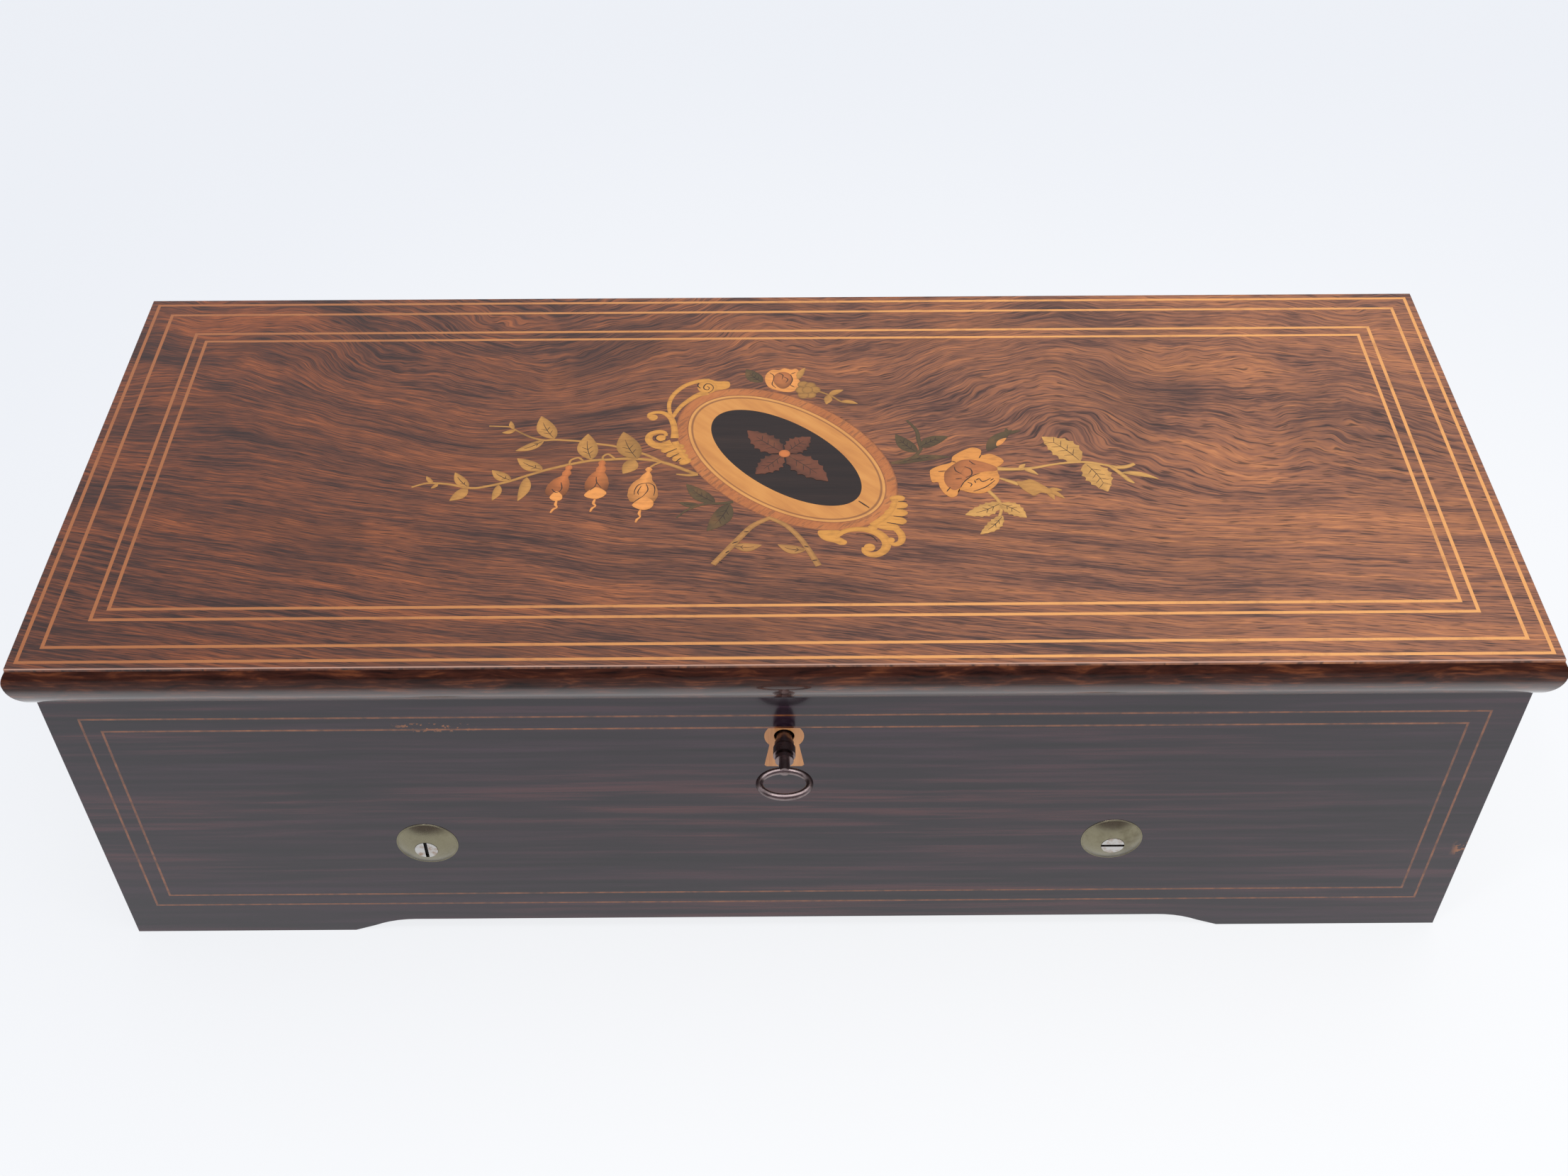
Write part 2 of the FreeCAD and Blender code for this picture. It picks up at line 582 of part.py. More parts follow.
def screw_places():
    """Bedplate screws as (x, face, direction): two in the front, two in the back."""
    return [(x, face, way) for face, way in ((FRONT, 1), (BACK, -1)) for x in (SCREW_L, SCREW_R)]


def along_y(face, direction, start, length):
    """Where a rod begins that reaches from start to start + length into a face of the case."""
    if direction > 0:
        return "(%s + %s)" % (face, start)
    return "(%s - (%s) - %s)" % (face, start, length)


def wide_board(face_y):
    outline = foot_line("-case_w/2", "case_w/2", NOTCH, "0", "case_h")
    return slab("XZ", outline, "0", face_y, "0", "board_t")


def end_board(face_x):
    outline = foot_line(IN_FRONT, IN_BACK, END_NOTCH, "0", "case_h")
    return slab("YZ", outline, face_x, "0", "0", "board_t")


def keyhole(start, length):
    round_part = rod("y", "keyhole_r", "lock_x", start, KEY_Z, length)
    slot = block("lock_x - keyhole_slot", "(lock_x + keyhole_slot)", start, "(%s + %s)" % (start, length),
                 "%s - keyhole_drop" % KEY_Z, KEY_Z)
    return join(round_part, slot)


def make_case():
    plate = slab("XZ", [
        ("-plate_waist", "-sqrt(plate_r^2 - plate_waist^2)"),
        ("-plate_foot", "plate_corner - plate_drop"),
        ("plate_corner - plate_foot", "-plate_drop"),
        ("plate_foot - plate_corner", "-plate_drop"),
        ("plate_foot", "plate_corner - plate_drop"),
        ("plate_waist", "-sqrt(plate_r^2 - plate_waist^2)"),
    ], "lock_x", FRONT, KEY_Z, "inlay_t")
    crown = block("lock_x - plate_r", "(lock_x + plate_r)", FRONT, "(%s + inlay_t)" % FRONT,
                  "(case_h - front_top - front_step - front_string_w/2)", "(%s + plate_r + over)" % KEY_Z)
    inlay = less(join(plate, rod("y", "plate_r", "lock_x", FRONT, KEY_Z, "inlay_t")), crown)
    lines = []
    for step in ("0", "front_step"):
        half = "(case_w/2 - front_side - %s + front_string_w/2)" % step
        low = "(front_foot + %s - front_string_w/2)" % step
        high = "(case_h - front_top - %s + front_string_w/2)" % step
        line = frame_of("-%s" % half, half, FRONT, "(%s + inlay_t)" % FRONT, low, high,
                        "front_string_w", "y")
        lines.append(less(line, inlay))
    holes = []
    for x, face, direction in screw_places():
        begin = along_y(face, direction, "0", "board_t")
        holes.append(rod("y", "shank_r + hole_gap", x, begin, BED_Z, "board_t"))
    through = keyhole(FRONT, "board_t")
    node("front_board", less(wide_board(FRONT), inlay, lines[0], lines[1], through, holes[0], holes[1]))
    node("front_stringing", group(*lines))
    node("escutcheon", less(inlay, keyhole(FRONT, "inlay_t")))
    mortises = [block(x0, x1, "(%s - leaf_w)" % BACK, BACK, "(case_h - leaf_t)", "case_h")
                for x0, x1 in hinge_spans()]
    node("back_board", less(wide_board(IN_BACK), holes[2], holes[3], *mortises))
    node("left_end", end_board("-case_w/2"))
    node("right_end", end_board(IN_RIGHT))
    node("base_board", block(IN_LEFT, IN_RIGHT, IN_FRONT, IN_BACK, "(foot_h + base_up)", BASE_TOP))


def make_partitions():
    left = block("%s - part_t" % LEFT_WALL, LEFT_WALL, IN_FRONT, IN_BACK, BASE_TOP, GLASS_TOP)
    right = block(RIGHT_WALL, "(%s + part_t)" % RIGHT_WALL, IN_FRONT, IN_BACK, BASE_TOP, GLASS_TOP)
    left_x = "%s - part_t" % LEFT_WALL
    node("left_partition", less(
        left,
        rod("x", "wind_r + arbor_gap", left_x, BARREL_Y, BARREL_Z, "part_t"),
        rod("x", "pivot_r + fit", left_x, PIVOT_Y, PIVOT_Z, "part_t"),
        rod("x", "shaft_r + fit", left_x, CLICK_Y, CLICK_Z, "part_t")))
    node("right_partition", less(
        right,
        rod("x", "shaft_r + fit", RIGHT_WALL, "stop_y", SHAFT_Z, "part_t"),
        rod("x", "shaft_r + fit", RIGHT_WALL, "change_y", SHAFT_Z, "part_t"),
        rod("x", "pivot_r + fit", RIGHT_WALL, PIVOT_Y, PIVOT_Z, "part_t")))
    low = "(%s - ledge_gap - ledge_h)" % GLASS_Z
    high = "(%s - ledge_gap)" % GLASS_Z
    deep = "(%s + lock_d + ledge_in)" % IN_FRONT
    node("glass_ledge", group(
        block(LEFT_WALL, "(lock_x - lock_w/2)", IN_FRONT, deep, low, high),
        block("lock_x + lock_w/2", RIGHT_WALL, IN_FRONT, deep, low, high)))


# Lid: a board with rounded strips on three edges, under a veneer with its lines and oval.

def hinge_spans():
    spans = []
    for sign in ("-", ""):
        middle = sign + HINGE_X
        spans.append(("(%s - hinge_len/2)" % middle, "(%s + hinge_len/2)" % middle))
    return spans


def moulding_line(zero, sign):
    """The strip's cross-section; sign says which way outwards is."""
    def out(text):
        return "%s %s (%s)" % (zero, sign, text)
    low_r = "((nose - mould_root)^2 + (lid_t - nose_drop)^2)/(2*(nose - mould_root))"
    high_r = "((nose - arris)^2 + (nose_drop - veneer_t)^2)/(2*(nose - arris))"
    bend = 1 if sign == "+" else -1
    return [
        (out("-mould_w"), LID_Z),
        (out("mould_root"), LID_Z, low_r, bend),
        (out("nose"), "%s - nose_drop" % TOP, high_r, bend),
        (out("arris"), VENEER_Z),
        (out("-mould_w"), VENEER_Z),
    ]


def mitre(corner_x, sign, keep):
    """A prism that takes away what lies beyond a front corner's mitre."""
    inner_x = "%s %s mould_w" % (corner_x, "+" if sign < 0 else "-")
    outer_x = "%s %s (nose + over)" % (corner_x, "-" if sign < 0 else "+")
    inner_y = "%s + mould_w" % FRONT
    outer_y = "%s - nose - over" % FRONT
    third = (outer_x, inner_y) if keep == "front" else (inner_x, outer_y)
    return slab("XY", [(inner_x, inner_y), (outer_x, outer_y), third],
                "0", "0", "%s - over" % LID_Z, "lid_t + 2*over")


def oval(shrink):
    """A tilted ellipse's disc in the lid's face."""
    ring = doc.addObject("Part::Ellipse", "oval")
    ring.Placement = FreeCAD.Placement(V(), FreeCAD.Rotation(V(0, 0, -1), 1))
    bind(ring, "MajorRadius", "oval_major - %s" % shrink)
    bind(ring, "MinorRadius", "oval_minor - %s" % shrink)
    bind(ring, "Placement.Rotation.Angle", "-oval_tilt")
    set_base(ring, "oval_x", "oval_y", "(%s - inlay_t)" % TOP)
    disc = doc.addObject("Part::Extrusion", "disc")
    disc.Base = ring
    disc.DirMode = "Custom"
    disc.Dir = V(0, 0, 1)
    disc.Solid = True
    bind(disc, "LengthFwd", "inlay_t")
    return disc


def make_lid():
    low = "(%s - inlay_t)" % TOP
    lines = []
    for inset in ("line_1", "line_2", "line_3", "line_4"):
        half = "(case_w/2 + arris - %s + string_w/2)" % inset
        near = "(%s - arris + %s - string_w/2)" % (FRONT, inset)
        far = "(%s - %s + string_w/2)" % (BACK, inset)
        lines.append(frame_of("-%s" % half, half, near, far, low, TOP, "string_w", "z"))
    whole, middle, field = oval("0"), oval("oval_ring_1"), oval("(oval_ring_1 + oval_ring_2)")
    sheet_half = "(case_w/2 + arris)"
    veneer = block("-%s" % sheet_half, sheet_half, "%s - arris" % FRONT, BACK, VENEER_Z, TOP)
    node("lid_veneer", less(veneer, whole, *lines))
    node("lid_stringing", group(*lines))
    node("medallion_outer_ring", less(whole, middle))
    node("medallion_inner_ring", less(middle, field))
    node("medallion_field", field)

    link = block("lock_x - link_half", "(lock_x + link_half)", "%s - link_w/2" % HOOK_Y,
                 "(%s + link_w/2)" % HOOK_Y, LID_Z, "(%s + link_t)" % LID_Z)
    mortises = [block(x0, x1, "(%s - leaf_w)" % BACK, BACK, LID_Z, "(%s + leaf_t)" % LID_Z)
                for x0, x1 in hinge_spans()]
    board = block("-case_w/2 + mould_w", "(case_w/2 - mould_w)", "%s + mould_w" % FRONT, BACK,
                  LID_Z, VENEER_Z)
    node("lid_board", less(board, link, *mortises))
    reach = "(case_w/2 + nose + over)"
    strip = slab("YZ", moulding_line(FRONT, "-"), "-%s" % reach, "0", "0", "2*%s" % reach)
    corners = [mitre("-case_w/2", -1, "front"), mitre("case_w/2", 1, "front")]
    node("lid_moulding_front", less(strip, link, *corners))
    length = "case_d + nose + over"
    start = "%s - nose - over" % FRONT
    left = slab("XZ", moulding_line("-case_w/2", "-"), "0", start, "0", length)
    right = slab("XZ", moulding_line("case_w/2", "+"), "0", start, "0", length)
    node("lid_side_mouldings", group(less(left, mitre("-case_w/2", -1, "end")),
                                     less(right, mitre("case_w/2", 1, "end"))))
    node("tune_card", block("-card_w/2", "card_w/2", "-card_d/2", "card_d/2",
                            "%s - card_t" % LID_Z, LID_Z))
    make_link_plate(link)


# Lock: the case on the front board, a bolt that slides in it, the lid's hooks and the key.

def make_link_plate(plate):
    pieces = [plate]
    eyes = []
    for side in ("-", "+"):
        middle = "(lock_x %s hook_x)" % side
        x0 = "(%s - hook_t/2)" % middle
        pieces.append(block(x0, "(%s + hook_t)" % x0, "%s - hook_w/2" % HOOK_Y, "(%s + hook_w/2)" % HOOK_Y,
                            "%s - hook_end" % EYE_Z, LID_Z))
        eyes.append(rod("x", "eye_r", x0, HOOK_Y, EYE_Z, "hook_t"))
    node("link_plate", less(join(*pieces), *eyes))


def make_lock():
    left = "(lock_x - lock_w/2)"
    right = "(lock_x + lock_w/2)"
    deep = "(%s + lock_d)" % IN_FRONT
    low = "(%s - lock_drop)" % KEY_Z
    high = "(case_h - lock_top)"
    shell = block(left, right, IN_FRONT, deep, low, high)
    room = block("%s + lock_wall" % left, "(%s - lock_wall)" % right, "%s + lock_wall" % IN_FRONT,
                 "(%s - lock_wall)" % deep, "%s + lock_wall" % low, "(%s - lock_wall)" % high)
    slots = []
    for side in ("-", "+"):
        middle = "(lock_x %s hook_x)" % side
        slots.append(block("%s - hook_t/2 - hook_gap" % middle, "(%s + hook_t/2 + hook_gap)" % middle,
                           "%s - hook_w/2 - hook_gap" % HOOK_Y, "(%s + hook_w/2 + hook_gap)" % HOOK_Y,
                           "(%s - lock_wall)" % high, high))
    node("lock_case", less(shell, room, keyhole(IN_FRONT, "lock_wall"), *slots))

    bar_z = "(%s - bolt_drop)" % EYE_Z
    near, far = "%s - bolt_t/2" % HOOK_Y, "(%s + bolt_t/2)" % HOOK_Y
    backs = ["(lock_x %s hook_x - hook_t/2 - hook_gap - bolt_back)" % side for side in ("-", "+")]
    pieces = [block(backs[0], "(%s + bolt_arm)" % backs[1], near, far, bar_z, "(%s + bolt_h)" % bar_z)]
    for back in backs:
        pieces.append(block(back, "(%s + bolt_arm)" % back, near, far,
                            "%s + bolt_h/2" % bar_z, "(%s + nib_r)" % EYE_Z))
        pieces.append(rod("x", "nib_r", "%s + bolt_arm/2" % back, HOOK_Y, EYE_Z, "bolt_back - bolt_arm/2"))
    node("lock_bolt", join(*pieces))


def half_bow(start, section_x, bow_y):
    spine = doc.addObject("Part::Ellipse", "bow_line")
    bind(spine, "MajorRadius", "bow_half_w")
    bind(spine, "MinorRadius", "bow_half_d")
    spine.Angle1 = start
    spine.Angle2 = start + 180
    set_base(spine, "lock_x", bow_y, KEY_Z)
    section = doc.addObject("Part::Circle", "bow_section")
    section.Placement = FreeCAD.Placement(V(), FreeCAD.Rotation(V(1, 0, 0), 90))
    bind(section, "Radius", "bow_wire")
    set_base(section, section_x, bow_y, KEY_Z)
    half = doc.addObject("Part::Sweep", "half_bow")
    half.Sections = [section]
    half.Spine = (spine, ["Edge1"])
    half.Solid = True
    return half


def make_key():
    bow_y = "(%s - key_reach + bow_half_d + bow_wire)" % FRONT
    inside = "(%s + lock_d - lock_wall - bit_gap)" % IN_FRONT
    shoulder = "(%s - rim_at + rim_w/2)" % FRONT
    neck_y = "(%s + bow_half_d - bow_wire/2)" % bow_y
    pieces = [rod("y", "key_r", "lock_x", shoulder, KEY_Z, "%s - %s" % (inside, shoulder)),
              rod("y", "neck_r", "lock_x", neck_y, KEY_Z, "%s + rim_w/2 - %s" % (shoulder, neck_y))]
    for turned in ("rim", "bead", "ring"):
        at = "%s - %s_at" % (FRONT, turned)
        pieces.append(rod("y", turned + "_r", "lock_x", at, KEY_Z, turned + "_w"))
    pieces.append(half_bow(0, "lock_x + bow_half_w", bow_y))
    pieces.append(half_bow(180, "lock_x - bow_half_w", bow_y))
    pieces.append(block("lock_x - bit_len", "lock_x", "%s + lock_wall + bit_gap" % IN_FRONT, inside,
                        "%s - bit_t/2" % KEY_Z, "(%s + bit_t/2)" % KEY_Z))
    node("key", join(*pieces))


# Hinges of the lid: brass leaves let into board and lid, three knuckles and a steel pin each.

def make_hinges():
    fixed, moving, pins = [], [], []
    for x0, x1 in hinge_spans():
        third = "(hinge_len/3)"
        bore = rod("x", "pin_r + fit", x0, HINGE_Y, HINGE_Z, "hinge_len")
        pieces = [block(x0, x1, "(%s - leaf_w)" % BACK, BACK, "(case_h - leaf_t)", "case_h")]
        for start in (x0, "(%s + 2*%s + knuckle_gap)" % (x0, third)):
            length = "(%s - knuckle_gap)" % third
            pieces.append(block(start, "(%s + %s)" % (start, length), BACK, HINGE_Y,
                                "(case_h - leaf_t)", "case_h"))
            pieces.append(rod("x", "knuckle_r", start, HINGE_Y, HINGE_Z, length))
        fixed.append(less(join(*pieces), bore))
        start = "(%s + %s)" % (x0, third)
        leaf = block(x0, x1, "(%s - leaf_w)" % BACK, BACK, LID_Z, "(%s + leaf_t)" % LID_Z)
        web = block(start, "(%s + %s)" % (start, third), BACK, HINGE_Y,
                    LID_Z, "(%s + leaf_t)" % LID_Z)
        knuckle = rod("x", "knuckle_r", start, HINGE_Y, HINGE_Z, third)
        moving.append(less(join(leaf, web, knuckle), bore))
        pins.append(rod("x", "pin_r", x0, HINGE_Y, HINGE_Z, "hinge_len"))
    node("case_hinge_leaves", group(*fixed))
    node("lid_hinge_leaves", group(*moving))
    node("hinge_pins", group(*pins))


# Inner lid: a glazed frame between the partitions, turning on two pivots at the back.

def make_glass_lid():
    x0 = "(%s + frame_gap)" % LEFT_WALL
    x1 = "(%s - frame_gap)" % RIGHT_WALL
    y1 = "(%s - frame_back)" % IN_BACK
    side_x0 = "(%s + rail_w)" % x0
    side_x1 = "(%s - rail_w)" % x1
    side_y0 = "(%s + rail_w)" % GLASS_0
    side_y1 = "(%s - rail_w)" % y1
    pane = block("%s - rebate" % side_x0, "(%s + rebate)" % side_x1,
                 "%s - rebate" % side_y0, "(%s + rebate)" % side_y1,
                 "%s + pane_up" % GLASS_Z, "(%s + pane_up + pane_t)" % GLASS_Z)
    rails = [
        block(x0, x1, GLASS_0, side_y0, GLASS_Z, GLASS_TOP),
        block(x0, x1, side_y1, y1, GLASS_Z, GLASS_TOP),
        block(x0, side_x0, side_y0, side_y1, GLASS_Z, GLASS_TOP),
        block(side_x1, x1, side_y0, side_y1, GLASS_Z, GLASS_TOP),
    ]
    pivots = [
        rod("x", "pivot_r", "%s - pivot_out" % x0, PIVOT_Y, PIVOT_Z, "pivot_len"),
        rod("x", "pivot_r", "%s + pivot_out - pivot_len" % x1, PIVOT_Y, PIVOT_Z, "pivot_len"),
    ]
    cut = [less(rail, pane, *pivots) for rail in rails]
    node("glass_frame", group(*cut))
    node("glass_pane", pane)
    node("glass_pivots", group(*pivots))


# Bedplate, held by four screws through the front and back boards, each on a domed washer.

def make_bedplate():
    screws, washers, holes = [], [], []
    dome_r = "((washer_r^2 + dome_h^2)/(2*dome_h))"
    crown = "(head_sink - dome_h)"
    long_shank = "(dome_h + board_t + shank_in - head_t)"
    deep = "(board_t + shank_in + hole_end)"
    for x, face, direction in screw_places():
        def bored(radius, start, length):
            return rod("y", radius, x, along_y(face, direction, start, length), BED_Z, length)
        holes.append(bored("shank_r", "0", deep))
        screw = join(bored("head_r", crown, "head_t"),
                     bored("shank_r", "(head_sink - dome_h + head_t)", long_shank))
        slot_y = along_y(face, direction, crown, "slot_d")
        wide, tall = ("slot_w/2", "head_r + over") if x == SCREW_L else ("head_r + over", "slot_w/2")
        slot = block("%s - (%s)" % (x, wide), "(%s + %s)" % (x, wide), slot_y, "(%s + slot_d)" % slot_y,
                     "%s - (%s)" % (BED_Z, tall), "(%s + %s)" % (BED_Z, tall))
        screws.append(less(screw, slot))
        centre = along_y(face, direction, "%s - dome_h" % dome_r, "0")
        dome = shared(ball(dome_r, x, centre, BED_Z), bored("washer_r", "(-dome_h)", "dome_h"))
        washers.append(less(dome, bored("head_r + washer_gap", crown, "head_t"),
                            bored("head_r + washer_gap", "(-dome_h)", "head_sink"),
                            bored("shank_r + washer_gap", "(-dome_h)", "dome_h")))
    plate = block("%s + bed_left" % LEFT_WALL, "(%s - bed_right)" % RIGHT_WALL, IN_FRONT, IN_BACK,
                  "(%s - bed_t)" % BED_TOP, BED_TOP)
    node("bedplate", less(plate, *holes))
    node("bedplate_screws", group(*screws))
    node("bedplate_washers", group(*washers))


# Cylinder: a pinned tube on two caps that slide on the arbor, and the wheels at its ends.

def make_cylinder():
    tube = less(rod("x", "cyl_r", CYL_0, "cyl_y", CYL_Z, CYL_LEN),
                rod("x", "cyl_r - shell_t", CYL_0, "cyl_y", CYL_Z, CYL_LEN))
    node("cylinder_shell", tube)
    cap_1 = "(%s - cap_t)" % CYL_1
    feeler_x = "(%s - cap_t/2)" % CYL_1
    feeler = rod("x", "feeler_r", feeler_x, "cyl_y", "(%s + feeler_up)" % SNAIL_Z,
                 "(%s - %s - feeler_gap) - %s" % (GREAT_0, SNAIL_H, feeler_x))
    bores = [rod("x", "arbor_r + fit", start, "cyl_y", CYL_Z, "cap_t") for start in (CYL_0, cap_1)]
    discs = [rod("x", "cyl_r - shell_t", start, "cyl_y", CYL_Z, "cap_t") for start in (CYL_0, cap_1)]
    node("cylinder_caps", group(less(discs[0], bores[0]), less(join(discs[1], feeler), bores[1])))

    pinion_x = "(%s - pinion_w)" % PINION_1
    line = math.atan2(val(BARREL_Z) - val(CYL_Z), val(BARREL_Y) - val("cyl_y"))
    at = (val("cyl_y"), val(CYL_Z))
    pinion = gear(val("pinion_teeth"), val("module_1"), line, val(pinion_x), *at, val("pinion_w"))
    arbor_0 = "(%s - arbor_end)" % pinion_x
    arbor_1 = "(%s + cock_t + arbor_end)" % COCK_R
    arbor = rod("x", "arbor_r", arbor_0, "cyl_y", CYL_Z, "%s - %s" % (arbor_1, arbor_0))
    node("cylinder_arbor", join(arbor, pinion))

    first = math.atan2(val(FIRST_Z) - val(CYL_Z), val(FIRST_Y) - val("cyl_y"))
    great = gear(val("great_teeth"), val("module_1"), first, val(GREAT_0), *at, val("great_t"))
    stud = rod("x", "stud_r", "%s - %s" % (GREAT_0, SNAIL_H), "cyl_y", SNAIL_Z, "%s + great_t" % SNAIL_H)
    node("great_wheel", less(join(great, stud), rod("x", "arbor_r", GREAT_0, "cyl_y", CYL_Z, "great_t")))
    make_snail()


def make_snail():
    """Eight steps round a stud; the highest faces the cylinder's feeler at rest."""
    turn = 2*math.pi/val("snail_tunes")
    centre = V(0, val("cyl_y"), val(SNAIL_Z))
    foot = val(GREAT_0) - val("snail_gap")
    steps = []
    for index in range(int(val("snail_tunes"))):
        height = val(SNAIL_H) - val("snail_gap") - index*val("snail_step")
        middle = math.pi/2 - index*turn
        rim = []
        for at in (-0.5, 0, 0.5):
            angle = middle + at*turn
            rim.append(centre + V(foot, val("snail_r")*math.cos(angle), val("snail_r")*math.sin(angle)))
        hub = centre + V(foot, 0, 0)
        edges = [Part.makeLine(hub, rim[0]), Part.Arc(*rim).toShape(), Part.makeLine(rim[2], hub)]
        steps.append(Part.Face(Part.Wire(edges)).extrude(V(-height, 0, 0)))
    disc = steps[0].multiFuse(steps[1:]).removeSplitter()
    bore = rod("x", "stud_r + fit", "%s - %s - over" % (GREAT_0, SNAIL_H), "cyl_y", SNAIL_Z,
               "%s + over" % SNAIL_H)
    node("tune_snail", less(plain(disc), bore))


# Spring barrel and winding: drum with its toothed end, cover, spiral spring, arbor and lever.

def make_barrel():
    line = math.atan2(val(CYL_Z) - val(BARREL_Z), val("cyl_y") - val(BARREL_Y))
    teeth = val("barrel_teeth")
    wheel = gear(teeth, val("module_1"), line + math.pi/teeth, val(DRUM_1), val(BARREL_Y), val(BARREL_Z),
                 val("pinion_w - 2*wheel_inset"))
    bore_r = "drum_r - drum_t"
    drum = less(rod("x", "drum_r", DRUM_0, BARREL_Y, BARREL_Z, "drum_len"),
                rod("x", bore_r, DRUM_0, BARREL_Y, BARREL_Z, "drum_len"))
    axle = rod("x", "wind_r + fit", DRUM_0, BARREL_Y, BARREL_Z, "drum_len + pinion_w")
    node("spring_barrel", less(join(drum, wheel), axle))
    cover = rod("x", bore_r, DRUM_0, BARREL_Y, BARREL_Z, "cover_t")
    node("barrel_cover", less(cover, rod("x", "wind_r + fit", DRUM_0, BARREL_Y, BARREL_Z, "cover_t")))
    node("mainspring", plain(spring_coil()))


def spring_coil():
    """A spiral strip drawn with half circles, from beside the arbor out to the drum's wall."""
    thick = val("spring_t")
    inner = val("wind_r + spring_gap")
    outer = val("drum_r - drum_t - spring_t - spring_fit")
    halves = int(2*val("spring_turns"))
    gain = (outer - inner)/halves
    x = val("%s + cover_t + spring_side" % DRUM_0)
    centre_y, centre_z = val(BARREL_Y), val(BARREL_Z)
    sides = []
    for offset in (0, thick):
        radius = inner + offset
        middle = centre_y
        arcs = []
        for index in range(halves):
            way = 1 if index % 2 == 0 else -1
            start = V(x, middle + way*radius, centre_z)
            top = V(x, middle, centre_z + way*radius)
            end = V(x, middle - way*radius, centre_z)
            arcs.append(Part.Arc(start, top, end).toShape())
            radius += gain
            middle += way*gain
        sides.append(arcs)
    ends = []
    for arc, tip in ((0, 0), (-1, 1)):
        ends.append(Part.makeLine(sides[0][arc].Vertexes[tip].Point, sides[1][arc].Vertexes[tip].Point))
    outline = Part.Wire(Part.__sortEdges__(sides[0] + sides[1] + ends))
    length = val("drum_len - cover_t - 2*spring_side")
    return Part.Face(outline).extrude(V(length, 0, 0))


def make_winding():
    arbor_0 = "(%s - wind_end)" % LEVER_0
    node("barrel_arbor", rod("x", "wind_r", arbor_0, BARREL_Y, BARREL_Z, "%s - %s" % (COCK_L, arbor_0)))
    node("ratchet_wheel", less(plain(ratchet_shape()),
                               rod("x", "wind_r", RATCHET_0, BARREL_Y, BARREL_Z, "ratchet_t")))
    outline = [("0", "-lever_root"), ("0", "lever_root"),
               ("-lever_len", "lever_tip"), ("-lever_len", "-lever_tip")]
    bar = slab("YZ", outline, LEVER_0, BARREL_Y, BARREL_Z, "lever_t", "lever_rest")
    hub = rod("x", "lever_hub", LEVER_0, BARREL_Y, BARREL_Z, "lever_t")
    end_y = "(%s - lever_len*cos(lever_rest*1deg))" % BARREL_Y
    end_z = "(%s - lever_len*sin(lever_rest*1deg))" % BARREL_Z
    eye = rod("x", "handle_r + lever_eye", LEVER_0, end_y, end_z, "lever_t")
    node("winding_lever", less(join(bar, hub, eye),
                               rod("x", "wind_r", LEVER_0, BARREL_Y, BARREL_Z, "lever_t")))
    grip_x = "(%s - handle_len)" % LEVER_0
    node("lever_handle", join(rod("x", "handle_r", "%s + handle_r/2" % grip_x, end_y, end_z,
                                  "handle_len - handle_r/2"),
                              ball("handle_r", "%s + handle_r" % grip_x, end_y, end_z)))
    back = "-ratchet_r - pawl_len"
    nib = slab("YZ", [("-ratchet_r - pawl_gap", "0"), (back, "pawl_half"), (back, "-pawl_half")],
               RATCHET_0, BARREL_Y, BARREL_Z, "ratchet_t", "lever_rest")
    stud_y = "(%s - (ratchet_r + pawl_in)*cos(lever_rest*1deg))" % BARREL_Y
    stud_z = "(%s - (ratchet_r + pawl_in)*sin(lever_rest*1deg))" % BARREL_Z
    stud = rod("x", "shaft_r", LEVER_1, stud_y, stud_z, "%s - %s" % (RATCHET_1, LEVER_1))
    node("drive_pawl", join(nib, stud))
    make_click()


def ratchet_shape():
    """Saw teeth: each climbs slowly and drops back along a radius."""
    corners = []
    count = int(val("ratchet_teeth"))
    for tooth in range(count):
        angle = 2*math.pi*tooth/count
        for radius in (val("ratchet_r - ratchet_tooth"), val("ratchet_r")):
            corners.append(V(val(RATCHET_1), val(BARREL_Y) + radius*math.cos(angle),
                             val(BARREL_Z) + radius*math.sin(angle)))
    return Part.Face(Part.makePolygon(corners + corners[:1])).extrude(V(-val("ratchet_t"), 0, 0))


def make_click():
    """The holding click, on a stud of its own that turns in the partition."""
    outline = [("-click_out", "-click_down"), ("click_half - click_out", "-click_down"),
               ("click_half", "-click_half"), ("click_half", "click_half"), ("-click_half", "click_half")]
    blade = slab("YZ", outline, RATCHET_0, CLICK_Y, CLICK_Z, "ratchet_t")
    stud = rod("x", "shaft_r", RATCHET_0, CLICK_Y, CLICK_Z,
               "(%s - click_short) - %s" % (LEFT_WALL, RATCHET_0))
    node("click", join(blade, stud))


# Bearings on the bedplate, comb in front of the cylinder.

def post(x0, y, z):
    """An upright of a bearing cock with its round head."""
    return [block(x0, "(%s + cock_t)" % x0, "%s - boss_r" % y, "(%s + boss_r)" % y, BED_TOP, z),
            rod("x", "boss_r", x0, y, z, "cock_t")]


